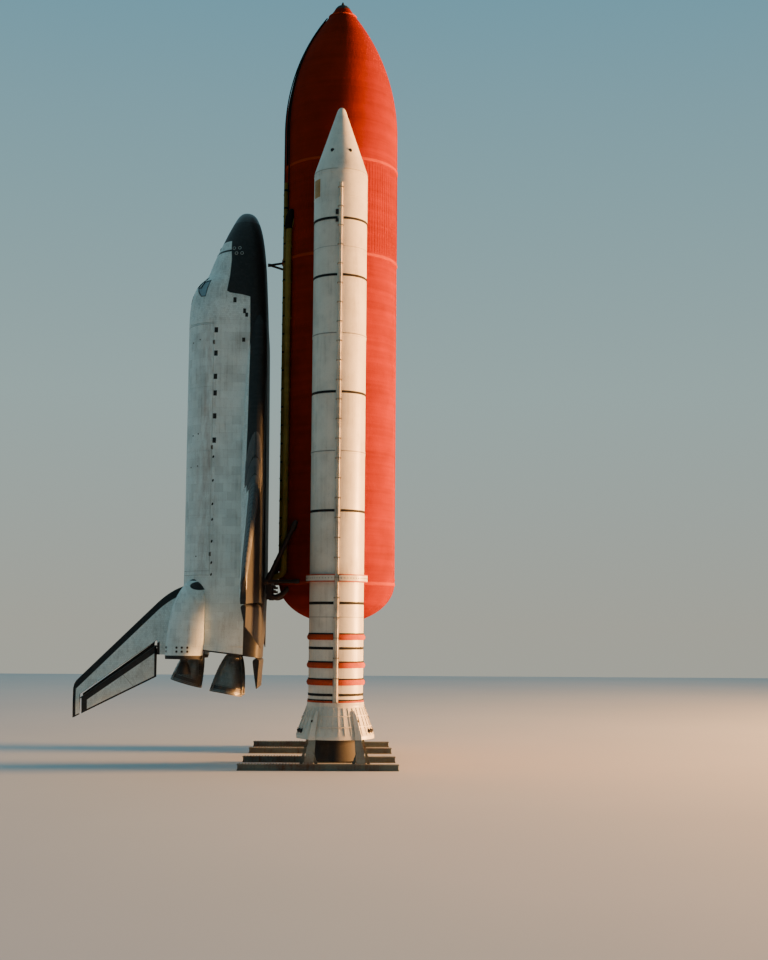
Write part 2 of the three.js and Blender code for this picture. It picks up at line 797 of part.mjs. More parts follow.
// Aft struts from a band round the tank to each booster's ring and to the orbiter's two aft points
const strutStation = ringStation + boosterOffset;
const strutHalf = 4.5;
const strutFoot = { onTank: 72, onRing: 52 }; // along X from the line through both axes
function boosterStrut(side, x) {
  const share = strutFoot.onRing / strutFoot.onTank;
  const tankY = Math.sqrt((tankRadius + 1) ** 2 - x ** 2);
  const ringY = boosterSpacing - Math.sqrt((boosterRadius + 5) ** 2 - (x * share) ** 2);
  return bar([x, side * tankY, -strutStation], [x * share, side * ringY, -strutStation], strutHalf);
}
function ringKeepOut(side) {
  const clear = boosterRadius + ringRise + 2 * seam;
  const rows = [
    [strutStation - 20, 0],
    [strutStation - 20, clear],
    [strutStation + 20, clear],
    [strutStation + 20, 0],
  ];
  return moved(turned(rows, boosterSides), shift(0, side * boosterSpacing, 0));
}
const aftPointY = 96.5;
const orbiterStrutRadius = 6.5;
function orbiterStruts(side) {
  const top = [bellyX + 7, side * aftPointY, -domeTop];
  const onTank = (angle, station) => [
    -(tankRadius + 3.2) * Math.cos(angle),
    side * (tankRadius + 3.2) * Math.sin(angle),
    -station,
  ];
  return join(
    bar(top, onTank(degrees(47), domeTop - 178), orbiterStrutRadius),
    bar(top, onTank(degrees(52), domeTop), orbiterStrutRadius),
    bar([bellyX - 4, side * aftPointY, -domeTop], [bellyX + 16, side * aftPointY, -domeTop], 9),
  );
}
const tankKeepOut = turned(
  [
    [1700, 0],
    [1700, tankRadius + seam],
    [domeTop + 2, tankRadius + seam],
    [domeTop + 60, tankRadius - 16],
    [domeTop + 60, 0],
  ],
  tankSides,
);
const band = turned(
  [
    [domeTop - 12, 0],
    [domeTop - 12, tankRadius + flangeRise],
    [domeTop, tankRadius + flangeRise],
    [domeTop, 0],
  ],
  tankSides,
);
const crossbeam = block(
  [bellyX + 6, -aftPointY - 8, -domeTop - beamHalf],
  [bellyX + 19, aftPointY + 8, -domeTop + beamHalf],
);
function umbilical(side) {
  const [low, high] = across(side, 60, 84);
  return block([bellyX + 3, low, -domeTop - 34], [bellyX + 17, high, 1 - domeTop - beamHalf]);
}
const boosterStruts = [-1, 1].flatMap((side) =>
  [-1, 1].map((end) => boosterStrut(side, end * strutFoot.onTank)),
);
const strutFrame = join(
  band,
  orbiterStruts(1),
  orbiterStruts(-1),
  crossbeam,
  umbilical(1),
  umbilical(-1),
  ...boosterStruts,
);
piece(
  "aft_strut_frame",
  strutFrame
    .subtract(tankKeepOut)
    .subtract(ringKeepOut(1))
    .subtract(ringKeepOut(-1))
    .subtract(bellyKeepOut(1200, 1400)),
  orangeFoam,
  tank,
);

// Pods on the shoulders of the aft fuselage: rows of station, y, z, half width, half height
const podRows = [
  [1312, 72, 462, 10, 8],
  [1330, 80, 462, 26, 30],
  [1365, 86, 466, 40, 46],
  [1420, 90, 474, 48, 54],
  [1480, 92, 480, 49, 56],
  [1534, 97, 487, 43, 51],
];
const podSides = 24;
function podSolid(side) {
  const rings = podRows.map(([station, y, z, half, rise]) =>
    Array.from({ length: podSides }, (_, i) => {
      const angle = (2 * Math.PI * (i + 0.5)) / podSides;
      return [station, side * (y + half * Math.cos(angle)), z + rise * Math.sin(angle)];
    }),
  );
  return loft(rings);
}
const grownBody = body(1280, 1532, -2 * seam);
const fuselageWithGap = grownBody.add(moved(body(1520, 1532, -2 * seam), shift(4, 0, 0)));
const belowPods = block([1200, -far, 0], [1700, far, 430]);
const podCentre = block([1200, -34, 0], [1700, 34, far * 2]);
const bothSides = [
  [1, "right"],
  [-1, "left"],
];
for (const [side, name] of bothSides) {
  const pod = podSolid(side).subtract(fuselageWithGap).subtract(podCentre).subtract(belowPods);
  piece(`maneuvering_pod_${name}`, pod, whiteTile, orbiter);
  const podAft = podRows[podRows.length - 1][0];
  const rows = [
    [podAft + seam, 0],
    [podAft + seam, 12],
    [1542, 9],
    [1552, 15],
    [1576, 22],
    [1576, 20.5],
    [1552, 13.5],
    [1544, 8],
    [1544, 0],
  ];
  const geometry = new THREE.LatheGeometry(
    rows.map(([s, r]) => new THREE.Vector2(r, s)),
    20,
  );
  geometry.rotateZ(-Math.PI / 2);
  geometry.translate(0, side * 88, 486);
  piece(`maneuvering_nozzle_${name}`, solid(geometry), greyCarbon, orbiter);
}

// Body flap under the engines
const flapHalf = 116;
const flapOutline = [
  ...steps(8, Math.PI / 2, (3 * Math.PI) / 2).map((angle) => [
    flapHinge.station + flapHinge.radius * Math.cos(angle),
    flapHinge.height + flapHinge.radius * Math.sin(angle),
  ]),
  [1614, 281],
  [1614, 284],
];
const flapShape = new THREE.Shape(flapOutline.map(([x, z]) => new THREE.Vector2(x, z)));
const flapGeometry = new THREE.ExtrudeGeometry(flapShape, {
  depth: 2 * flapHalf,
  bevelEnabled: false,
});
flapGeometry.rotateX(Math.PI / 2);
flapGeometry.translate(0, flapHalf, 0);
piece("body_flap", solid(flapGeometry), blackTile, orbiter);

// Wings: rows of y, leading edge station, lower surface, thickness
const wingRoot = 105 + seam;
const elevonHinge = 1395;
const wingRows = [
  [wingRoot, 560, 269, 66],
  [125, 668, 270, 64],
  [150, 803, 271, 60],
  [185, 992, 273, 56],
  [200, 1040, 274, 52],
  [225, 1066, 275, 48],
  [300, 1136, 280, 38],
  [400, 1236, 287, 27],
  [460, 1296, 291, 19],
  [468, 1318, 293, 15],
];
const trailingEdge = (y) => 1525 - 0.1773 * y;
// Share of the chord, height of the upper and of the lower surface as shares of the thickness
const aerofoil = [
  [0, 0.36, 0.3],
  [0.015, 0.5, 0.17],
  [0.06, 0.66, 0.06],
  [0.16, 0.84, 0],
  [0.32, 0.97, 0],
  [0.48, 1, 0],
  [0.66, 0.86, 0],
  [0.84, 0.52, 0],
  [1, 0.06, 0],
];
function aerofoilAt(row, station) {
  const [y, lead, lower, thickness] = row;
  const share = Math.min(1, Math.max(0, (station - lead) / (trailingEdge(y) - lead)));
  const k = Math.max(1, aerofoil.findIndex((p) => p[0] >= share));
  const [a, b] = [aerofoil[k - 1], aerofoil[k]];
  const t = (share - a[0]) / (b[0] - a[0]);
  const at = (i) => lower + thickness * (a[i] + t * (b[i] - a[i]));
  return [at(1), at(2)];
}
function wingRing(row, side, aft) {
  const [y, lead] = row;
  const chord = trailingEdge(y) - lead;
  const stations = aerofoil.map(([share]) => Math.min(lead + share * chord, aft));
  const cut = stations.map((s, i) => (s >= aft ? aft - (aerofoil.length - 1 - i) * 0.5 : s));
  const upper = cut.map((s) => [s, side * y, aerofoilAt(row, s)[0]]);
  const under = cut.map((s) => [s, side * y, aerofoilAt(row, s)[1]]);
  return [...upper, ...under.reverse()];
}
const interpolateRow = (rows, y) => {
  const next = rows.findIndex((row) => row[0] >= y);
  if (next <= 0) return rows[0];
  const [a, b] = [rows[next - 1], rows[next]];
  const t = (y - a[0]) / (b[0] - a[0]);
  return a.map((v, k) => v + t * (b[k] - v));
};
const elevonRadius = (row) => {
  const [top, bottom] = aerofoilAt(row, elevonHinge);
  return (top - bottom) / 2;
};
const cove = (row) => elevonHinge - elevonRadius(row) - 2.2;
const edgeDepth = 16;
const edgeStart = 168;
function edgeRegion(side, gap) {
  const start = interpolateRow(wingRows, edgeStart - 0.3 * gap);
  const front = [start, ...wingRows.filter((row) => row[0] > edgeStart)].map((row) => [row[1], row[0]]);
  const shifted = (distance) =>
    front.map(([x, y], i) => {
      const [a, b] = [front[Math.max(0, i - 1)], front[Math.min(front.length - 1, i + 1)]];
      const [dx, dy] = [b[0] - a[0], b[1] - a[1]];
      const length = Math.hypot(dx, dy);
      return [x + (distance * dy) / length, y - (distance * dx) / length];
    });
  const inner = shifted(edgeDepth + gap);
  const outline = [...shifted(-30), [1300, 500], [1338 + gap, 500], ...inner.reverse()];
  const shape = new THREE.Shape(outline.map(([x, y]) => new THREE.Vector2(x, side * y)));
  const geometry = new THREE.ExtrudeGeometry(shape, { depth: 300, bevelEnabled: false });
  geometry.translate(0, 0, 200);
  return solid(geometry);
}
const elevons = [
  // name, inner y, outer y
  ["inboard", 124, 312],
  ["outboard", 315, 466],
];
function elevonNose(inner, outer, y) {
  const ends = [inner, outer].map((end) => {
    const row = interpolateRow(wingRows, end);
    const [top, bottom] = aerofoilAt(row, elevonHinge);
    return { radius: (top - bottom) / 2, height: (top + bottom) / 2, bottom };
  });
  const share = (y - inner) / (outer - inner);
  const at = (key) => ends[0][key] + share * (ends[1][key] - ends[0][key]);
  return { radius: at("radius"), height: at("height"), bottom: at("bottom") };
}
function elevonSolid(side, inner, outer) {
  const rings = [inner, outer].map((y) => {
    const { radius, height, bottom } = elevonNose(inner, outer, y);
    const nose = steps(8, Math.PI / 2, (3 * Math.PI) / 2).map((angle) => [
      elevonHinge + radius * Math.cos(angle),
      side * y,
      height + radius * Math.sin(angle),
    ]);
    const trail = trailingEdge(y);
    return [...nose, [trail, side * y, bottom + 1.2], [trail, side * y, bottom + 3.4]];
  });
  return loft(rings);
}
// A lug on the wing that ends just short of the elevon's round nose
function elevonLug(side, inner, outer, y) {
  const half = 3;
  const { radius, height } = elevonNose(inner, outer, y - half);
  const [low, high] = side > 0 ? [y - half, y + half] : [-y - half, half - y];
  return block(
    [elevonHinge - radius - 6, low, height - half],
    [elevonHinge - radius - seam, high, height + half],
  );
}
for (const [side, name] of bothSides) {
  const whole = loft(wingRows.map((row) => wingRing(row, side, cove(row))));
  const lugs = elevons.flatMap(([, inner, outer]) =>
    [inner + 20, outer - 20].map((y) => elevonLug(side, inner, outer, y)),
  );
  const wing = whole.subtract(edgeRegion(side, seam)).subtract(grownBody);
  piece(`wing_${name}`, join(wing, ...lugs), whiteTile, orbiter);
  piece(`wing_leading_edge_${name}`, whole.intersect(edgeRegion(side, 0)), greyCarbon, orbiter);
  for (const [span, inner, outer] of elevons)
    piece(`elevon_${span}_${name}`, elevonSolid(side, inner, outer), whiteTile, orbiter);
}

// Fin: rows of height, leading edge, rudder hinge line, trailing edge, half thickness at the hinge
const finRoot = 502;
const finTip = 806;
const finLead = (z) => 1306 + (z - finRoot) * 0.985;
const finTrail = (z) => 1551 + (z - finRoot) * 0.5;
const hingeSlope = 0.7;
const finHinge = (z) => 1449 + (z - finRoot) * hingeSlope;
const finHalf = (z) => 13.5 - ((z - finRoot) / (finTip - finRoot)) * 8;
const rudderFoot = 572;
const finFootTrail = 1524; // trailing edge of the fin below the rudder
const rudderTop = 782;
function finRing(z, from, to) {
  const [lead, hinge, trail] = [finLead(z), finHinge(z), finTrail(z)];
  const half = (x) =>
    x <= hinge
      ? 0.6 + (finHalf(z) - 0.6) * Math.sqrt(Math.max(0, (x - lead) / (hinge - lead)))
      : finHalf(z) + (1 - finHalf(z)) * ((x - hinge) / (trail - hinge));
  const xs = steps(6, from, to);
  return [
    ...xs.map((x) => [x, half(x), z]),
    ...xs.reverse().map((x) => [x, -half(x), z]),
  ];
}
const finWhole = loft(
  [
    // height, trailing edge, how far the leading edge is rounded back
    [497, 1488, 0],
    [515, 1500, 0],
    [538, finFootTrail, 0],
    [rudderFoot - running, finFootTrail, 0],
    [rudderFoot, finTrail(rudderFoot), 0],
    [rudderTop, finTrail(rudderTop), 0],
    [finTip, finTrail(finTip), 14],
  ].map(([z, trail, back]) => finRing(z, finLead(z) + back, trail)),
);
const rudderSweep = (z) => 1.25 * finHalf(z) + 1.6; // cut ahead of the hinge line for the round front
const rudderRise = 5; // a panel swung wide climbs almost this far above its top edge
const rudderCut = prism(
  [
    [finHinge(rudderFoot) - rudderSweep(rudderFoot), rudderFoot - running],
    [finTrail(rudderFoot) + 60, rudderFoot - running],
    [finTrail(rudderTop) + 60, rudderTop + rudderRise],
    [finHinge(rudderTop) - rudderSweep(rudderTop), rudderTop + rudderRise],
  ],
  -40,
  40,
);
const chuteBox = prism(
  [
    [1470, 506],
    [1490, 506],
    [1500, 517],
    [1531, 538],
    [1531, 549],
    [1470, 549],
  ],
  -13,
  13,
);
piece(
  "vertical_fin",
  join(finWhole.subtract(rudderCut), chuteBox).subtract(fuselageWithGap),
  whiteTile,
  orbiter,
);

const tubeRadius = (z) => finHalf(z) * 0.28;
const tubeAt = (z) => [finHinge(z), 0, z];
const hingeLean = Math.atan(hingeSlope);
const tubeFoot = rudderFoot - running + seam + tubeRadius(rudderFoot) * Math.sin(hingeLean);
const tubeTop = rudderTop + rudderRise - seam - tubeRadius(rudderTop) * Math.sin(hingeLean);
piece(
  "rudder_torque_tube",
  bar(tubeAt(tubeFoot), tubeAt(tubeTop), tubeRadius(rudderFoot), tubeRadius(rudderTop), 16),
  bareMetal,
  orbiter,
);
// The foot of a panel rises towards its outer face, which dips as the leaning hinge turns
const panelBevel = 0.6;
for (const [side, name] of bothSides) {
  const panelRing = (z, bevel) => {
    const front = finHinge(z);
    const trail = finTrail(z);
    const inner = tubeRadius(z) + seam;
    return [
      [front, finHalf(z) - 0.2],
      [trail, 1.4],
      [trail, 0.25],
      [front + 10, 0.25],
      [front + 5, inner],
      [front, inner],
    ].map(([x, y]) => [x + hingeSlope * bevel * y, side * y, z + bevel * y]);
  };
  const panel = loft([panelRing(rudderFoot + running, panelBevel), panelRing(rudderTop - running, 0)]);
  piece(`rudder_panel_${name}`, panel, whiteTile, orbiter);
}

// The origin is on the floor, under the middle of the outline
const outlineBox = new THREE.Box3().setFromObject(stack);
const middle = outlineBox.getCenter(new THREE.Vector3());
for (const child of stack.children) {
  child.position.x -= middle.x;
  child.position.y -= middle.y;
}
stack.scale.setScalar(millimetresPerInch);

export default stack;
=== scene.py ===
from math import acos, asin, atan, copysign, cos, degrees, hypot, pi, radians, sin, sqrt

import bmesh
import bpy
from mathutils import Matrix, Vector


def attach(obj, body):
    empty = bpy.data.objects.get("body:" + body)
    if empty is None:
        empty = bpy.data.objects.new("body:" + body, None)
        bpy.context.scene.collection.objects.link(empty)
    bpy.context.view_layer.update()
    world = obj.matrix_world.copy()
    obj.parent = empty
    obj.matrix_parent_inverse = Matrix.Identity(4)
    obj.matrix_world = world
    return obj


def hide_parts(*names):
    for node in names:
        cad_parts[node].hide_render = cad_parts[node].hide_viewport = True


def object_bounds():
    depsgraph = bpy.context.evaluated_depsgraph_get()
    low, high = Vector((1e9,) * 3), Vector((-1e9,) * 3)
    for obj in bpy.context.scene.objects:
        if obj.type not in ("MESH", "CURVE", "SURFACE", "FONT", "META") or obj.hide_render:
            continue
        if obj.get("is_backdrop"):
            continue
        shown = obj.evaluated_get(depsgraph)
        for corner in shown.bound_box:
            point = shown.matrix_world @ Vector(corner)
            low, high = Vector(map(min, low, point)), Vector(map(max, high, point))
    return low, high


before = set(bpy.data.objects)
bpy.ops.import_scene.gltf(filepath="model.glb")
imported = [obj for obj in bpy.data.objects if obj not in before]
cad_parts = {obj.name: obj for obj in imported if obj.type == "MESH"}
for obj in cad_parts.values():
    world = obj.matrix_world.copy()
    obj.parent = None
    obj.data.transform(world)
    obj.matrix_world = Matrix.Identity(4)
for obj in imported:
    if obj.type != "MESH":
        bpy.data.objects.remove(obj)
cad_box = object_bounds()


# External tank: an aluminium oxygen tank with a nose spike, a ribbed intertank and a long
# hydrogen tank, sprayed all over with orange insulating foam that has darkened in the sun.
# The skins are turned, and paler rings of hand-sprayed foam close the joints between them.
INCH = 0.0127  # metres on the model for one inch on the full-size vehicle
TANK_RADIUS = 165.5
OGIVE_TOP, OGIVE_FOOT, OGIVE_RADIUS = 371, 745, 613
INTERTANK_TOP, INTERTANK_FOOT = 852.8, 1129.9
DOME_TOP, DOME_FOOT = 2058, 2173
TANK_SIDES = 144
STRINGER_RISE = 0.6


def tank_at(x, y, station):
    return Vector(((x + 287.7) * INCH, y * INCH, (2552 - station) * INCH))


def paint(red, green, blue):
    """A paint colour from its 0 to 255 chip values."""
    level = [c / 255 for c in (red, green, blue)]
    return (*[c / 12.92 if c < 0.04045 else ((c + 0.055) / 1.055) ** 2.4 for c in level], 1.0)


def wired(tree, added, inputs):
    """Sets or wires the inputs of a node."""
    for key, value in dict(inputs).items():
        if isinstance(value, bpy.types.NodeSocket):
            tree.links.new(value, added.inputs[key])
        else:
            added.inputs[key].default_value = value
    return added


def node(tree, kind, inputs=(), **settings):
    added = tree.nodes.new(kind if hasattr(bpy.types, kind) else "ShaderNode" + kind)
    for key, value in settings.items():
        setattr(added, key, value)
    return wired(tree, added, inputs)


def maths(tree, operation, first, second=0.0, third=0.0, clamp=False):
    wires = {0: first, 1: second, 2: third}
    return node(tree, "Math", wires, operation=operation, use_clamp=clamp).outputs[0]


def times(tree, first, second):
    return maths(tree, "MULTIPLY", first, second)


def rest(tree, share):
    return maths(tree, "SUBTRACT", 1.0, share)


def split(tree, vector):
    return node(tree, "SeparateXYZ", {"Vector": vector}).outputs


def ranged(tree, value, low, high, to_low=0.0, to_high=1.0):
    wires = {"Value": value, "From Min": low, "From Max": high, "To Min": to_low, "To Max": to_high}
    return node(tree, "MapRange", wires).outputs[0]


def blended(tree, share, first, second, how="MIX"):
    wires = {0: share, 6: first, 7: second}
    return node(tree, "Mix", wires, data_type="RGBA", blend_type=how).outputs[2]


def mapped(tree, vector, scale=(1, 1, 1), place=(0, 0, 0)):
    return node(tree, "Mapping", {"Vector": vector, "Scale": scale, "Location": place}).outputs[0]


def cloudy(tree, vector, scale, detail=4.0, roughness=0.55):
    wires = {"Vector": vector, "Scale": scale, "Detail": detail, "Roughness": roughness}
    return node(tree, "TexNoise", wires).outputs[0]


def effect(name, inputs, outputs, family="ShaderNodeTree"):
    """A node group with named sockets, and its two ends."""
    tree = bpy.data.node_groups.new(name, family)
    for key, kind, value in inputs:
        socket = tree.interface.new_socket(key, in_out="INPUT", socket_type="NodeSocket" + kind)
        if value is not None:
            socket.default_value = value
    for key, kind in outputs:
        tree.interface.new_socket(key, in_out="OUTPUT", socket_type="NodeSocket" + kind)
    return tree, tree.nodes.new("NodeGroupInput").outputs, tree.nodes.new("NodeGroupOutput").inputs


def used(tree, group, inputs):
    """Puts an effect into a material and returns its outputs."""
    return node(tree, "ShaderNodeGroup", inputs, node_tree=group).outputs


def finish(name, roughness=0.6, metallic=0.0, **sockets):
    """A material with its node tree, its shader and its object coordinates."""
    made = bpy.data.materials.new(name)
    made.use_nodes = True
    tree = made.node_tree
    wires = {key.replace("_", " "): value for key, value in sockets.items()}
    wires.update(Roughness=roughness, Metallic=metallic)
    shader = wired(tree, tree.nodes["Principled BSDF"], wires)
    return made, tree, shader, tree.nodes.new("ShaderNodeTexCoord").outputs


def relief(tree, shader, height, distance, strength=1.0):
    """Height in the surface, in metres."""
    wires = {"Height": height, "Distance": distance, "Strength": strength}
    wired(tree, shader, {"Normal": node(tree, "Bump", wires).outputs[0]})


# Grime: broad clouds, runs down the surface and fine specks, over any clean colour
grime, given, result = effect(
    "Grime",
    [
        ("Vector", "Vector", None), ("Clean", "Color", (0.8, 0.8, 0.8, 1)),
        ("Dirt", "Color", (0.1, 0.09, 0.08, 1)), ("Clouds", "Float", 0.3), ("Runs", "Float", 0.3),
        ("Specks", "Float", 0.2),
    ],
    [("Color", "Color"), ("Mask", "Float")],
)
clouds = ranged(grime, cloudy(grime, given["Vector"], 1.3, 6), 0.42, 0.72)
runs = cloudy(grime, mapped(grime, given["Vector"], (9, 9, 0.5)), 1.0, 5, 0.6)
runs = times(grime, ranged(grime, runs, 0.5, 0.75), ranged(grime, clouds, 0, 0.6, 0.3))
specks = ranged(grime, cloudy(grime, given["Vector"], 30, 3), 0.58, 0.7)
worn = times(grime, clouds, given["Clouds"])
worn = maths(grime, "MULTIPLY_ADD", runs, given["Runs"], worn)
worn = maths(grime, "MULTIPLY_ADD", specks, given["Specks"], worn, clamp=True)
grime.links.new(blended(grime, worn, given["Clean"], given["Dirt"]), result["Color"])
grime.links.new(worn, result["Mask"])


def grimy(tree, place, clean, dirt, clouds=0.3, runs=0.3, specks=0.2):
    """The grime effect over a clean colour."""
    wires = {"Vector": place, "Clean": clean, "Dirt": dirt}
    return used(tree, grime, {**wires, "Clouds": clouds, "Runs": runs, "Specks": specks})


def weathered(name, clean, dirt, clouds=0.3, runs=0.3, specks=0.2, **settings):
    """A grimy material in two paints, with its tree, shader, coordinates and the grime's outputs."""
    made, tree, shader, coordinates = finish(name, **settings)
    place = coordinates["Object"]
    worn = grimy(tree, place, paint(*clean), paint(*dirt), clouds, runs, specks)
    wired(tree, shader, {"Base Color": worn["Color"]})
    return made, tree, shader, place, worn


def foam_finish(name, light, dark, bands=0.5):
    """Foam sprayed on in turns: fine grain, sun-darkened clouds and level passes of the gun."""
    light, dark = paint(*light), paint(*dark)
    made, tree, shader, coordinates = finish(name, roughness=0.9, Specular_IOR_Level=0.05)
    place = coordinates["Object"]
    level = mapped(tree, place, (0.12, 0.12, 5))
    passes = ranged(tree, cloudy(tree, level, 1.0, 5, 0.7), 0.35, 0.7)
    patches = ranged(tree, cloudy(tree, place, 0.8, 6, 0.6), 0.35, 0.68)
    share = maths(tree, "MULTIPLY_ADD", passes, bands, times(tree, patches, 1 - bands))
    colour = blended(tree, share, light, dark)
    cells = node(tree, "TexVoronoi", {"Vector": place, "Scale": 1.6, "Randomness": 1.0})
    repair = ranged(tree, cells.outputs["Distance"], 0.05, 0.02, 0, 0.35)
    pale = blended(tree, 0.35, light, paint(184, 72, 26))
    colour = blended(tree, repair, colour, pale)
    grain = cloudy(tree, place, 55, 4, 0.7)
    colour = blended(tree, ranged(tree, grain, 0.35, 0.75, 0, 0.28), colour, dark)
    wired(tree, shader, {"Base Color": colour})
    ripple = maths(tree, "MULTIPLY_ADD", cloudy(tree, place, 9, 3), 2.5, grain)
    relief(tree, shader, ripple, 0.006, 0.55)
    return made


foam = foam_finish("tank_foam", (150, 34, 4), (108, 24, 3))
seam_foam = foam_finish("seam_foam", (176, 60, 20), (150, 42, 12), bands=0.2)
spike_finish, tree, shader, place, _ = weathered(
    "spike_composite", (20, 17, 16), (46, 36, 30), roughness=0.8
)
relief(tree, shader, cloudy(tree, place, 30), 0.003)


def circle(count, start=0.0):
    """Equal turns once round, in radians."""
    return [start + 2 * pi * k / count for k in range(count)]


def square(wide, deep):
    return [(-wide, -deep), (wide, -deep), (wide, deep), (-wide, deep)]


class Form:
    """Points and faces in metres, gathered until they become one piece."""

    def __init__(self):
        self.points, self.faces, self.maps, self.finishes = [], [], [], []

    def face(self, corners, chart, index):
        self.faces.append(corners)
        self.maps.append(chart)
        self.finishes.append(index)

    def rings(self, rings, index=0, looped=False, ends=True):
        """A skin through rings of points, charted by the arc round each ring and by height."""
        count, first = len(rings[0]), len(self.points)
        arcs = []
        for ring in rings:
            arc = [0.0]
            for a, b in zip(ring, ring[1:] + ring[:1]):
                arc.append(arc[-1] + (b - a).length)
            arcs.append(arc)
            self.points += ring
        pairs = list(zip(range(len(rings) - 1), range(1, len(rings))))
        if looped:
            pairs.append((len(rings) - 1, 0))
        for a, b in pairs:
            for i in range(count):
                j = (i + 1) % count
                corners = [(a, i, i), (a, j, i + 1), (b, j, i + 1), (b, i, i)]
                chart = [(arcs[r][k], rings[r][n].z) for r, n, k in corners]
                colour = index[i] if isinstance(index, list) else index
                self.face([first + r * count + n for r, n, _ in corners], chart, colour)
        if ends and not looped:
            for r in (0, len(rings) - 1):
                corners = list(range(first + r * count, first + (r + 1) * count))
                colour = index[-1] if isinstance(index, list) else index
                self.face(corners, [(p.x, p.z) for p in rings[r]], colour)
        return self

    def turned(self, rows, at, sides=TANK_SIDES, index=0, looped=False, ends=True):
        """A turned skin through rows of [station, radius]."""
        rings = [[at(r * cos(t), r * sin(t), s) for t in circle(sides)] for s, r in rows]
        return self.rings(rings, index, looped, ends)

    def hoop(self, at, station, half, inner, outer, start=0.0, sweep=360.0, index=0, sides=96):
        """A flat ring, or an arc of one, from an angle in degrees."""
        count = max(2, round(sides * sweep / 360))
        whole = sweep > 359.9
        corners = [(inner, -half), (outer, -half), (outer, half), (inner, half)]
        turns = [radians(start + sweep * i / count) for i in range(count + (not whole))]
        rings = [[at(r * cos(t), r * sin(t), station + s) for r, s in corners] for t in turns]
        return self.rings(rings, index, looped=whole)

    def tube(self, path, radius, sides=16, index=0):
        """A round tube along a path of points; the radius may be one for each point."""
        radii = radius if isinstance(radius, (list, tuple)) else [radius] * len(path)
        rings, side = [], None
        for i, (point, reach) in enumerate(zip(path, radii)):
            along = (path[min(i + 1, len(path) - 1)] - path[max(i - 1, 0)]).normalized()
            side = along.orthogonal() if side is None else side - along * side.dot(along)
            side.normalize()
            other = along.cross(side)
            reach *= INCH
            rings.append([point + (side * cos(t) + other * sin(t)) * reach for t in circle(sides)])
        return self.rings(rings, index)

    def box(self, first, second, at, index=0):
        """A box between any two opposite corners on one of the station axes."""
        x, y, z = [sorted(pair) for pair in zip(first, second)]
        corners = [(0, 0), (1, 0), (1, 1), (0, 1)]
        return self.rings([[at(x[a], y[b], z[k]) for a, b in corners] for k in (0, 1)], index)

    def mesh(self, name, materials, smooth=32.0):
        made = bpy.data.meshes.new(name)
        made.from_pydata(self.points, [], self.faces)
        chart = made.uv_layers.new(name="skin")
        for corner, place in zip(chart.data, [p for face in self.maps for p in face]):
            corner.uv = place
        made.polygons.foreach_set("material_index", self.finishes)
        for material in materials:
            made.materials.append(material)
        shell = bmesh.new()
        shell.from_mesh(made)
        bmesh.ops.remove_doubles(shell, verts=shell.verts, dist=2e-5)
        bmesh.ops.dissolve_degenerate(shell, edges=shell.edges, dist=1e-6)
        bmesh.ops.recalc_face_normals(shell, faces=shell.faces)
        shell.to_mesh(made)
        shell.free()
        made.shade_smooth()
        made.set_sharp_from_angle(angle=radians(smooth))
        return made


def placed(name, data):
    made = bpy.data.objects.new(name, data)
    bpy.context.scene.collection.objects.link(made)
    return made


def finished(made, name, body="airframe", replaces=""):
    """Names an object as a piece and sets it on its body."""
    made.name = name
    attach(made, body)
    if replaces:
        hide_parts(replaces)
    return made


def piece(form, name, materials, body="airframe", replaces="", smooth=32.0):
    return finished(placed(name, form.mesh(name, materials, smooth)), name, body, replaces)


# Repeats: copies of one small part at level steps, or at turns about an upright axis
places = [("Count", "Int"), ("Centre", "Vector"), ("Step", "Vector"), ("First", "Float")]
places += [("Turn", "Float"), ("Finish", "Material")]
repeats, given, result = effect(
    "Repeats", [(key, kind, None) for key, kind in [("Part", "Geometry"), *places]],
    [("Parts", "Geometry")], "GeometryNodeTree",
)
sockets = {key: given[key].identifier for key, _ in places}
back = node(repeats, "VectorMath", {0: given["Centre"], "Scale": -1.0}, operation="SCALE").outputs[0]
part = node(repeats, "GeometryNodeTransform", {"Geometry": given["Part"], "Translation": back}).outputs[0]
line = node(
    repeats, "GeometryNodeMeshLine",
    {"Count": given["Count"], "Start Location": given["Centre"], "Offset": given["Step"]},
).outputs[0]
index = node(repeats, "GeometryNodeInputIndex").outputs[0]
turned = maths(repeats, "MULTIPLY_ADD", index, given["Turn"], given["First"])
turned = node(repeats, "CombineXYZ", {"Z": turned}).outputs[0]
copies = node(
    repeats, "GeometryNodeInstanceOnPoints", {"Points": line, "Instance": part, "Rotation": turned}
).outputs[0]
copies = node(repeats, "GeometryNodeRealizeInstances", {"Geometry": copies}).outputs[0]
copies = node(
    repeats, "GeometryNodeSetMaterial", {"Geometry": copies, "Material": given["Finish"]}
).outputs[0]
repeats.links.new(copies, result["Parts"])


def repeated(form, name, material, slot, count, **places):
    """Copies of a small part as one piece: centre and step in metres, first and turn in degrees."""
    bare = placed(name + "_part", form.mesh(name + "_part", []))
    tool = bare.modifiers.new("repeat", "NODES")
    tool.node_group = repeats
    tool[sockets["Count"]] = count
    for key in ("centre", "step"):
        tool[sockets[key.title()]] = tuple(places.get(key, (0.0, 0.0, 0.0)))
    for key in ("first", "turn"):
        tool[sockets[key.title()]] = radians(places.get(key, 0.0))
    tool[sockets["Finish"]] = material
    graph = bpy.context.evaluated_depsgraph_get()
    made = bpy.data.meshes.new_from_object(bare.evaluated_get(graph))
    bpy.data.objects.remove(bare)
    made.name = name
    return finished(placed(name, made), name)


def spaced(count, low, high):
    return [low + (high - low) * i / count for i in range(count + 1)]


def ogive(station):
    return sqrt(OGIVE_RADIUS**2 - (OGIVE_FOOT - station) ** 2) - OGIVE_RADIUS + TANK_RADIUS


def tank_skin(station):
    return ogive(station) if station < OGIVE_FOOT else TANK_RADIUS


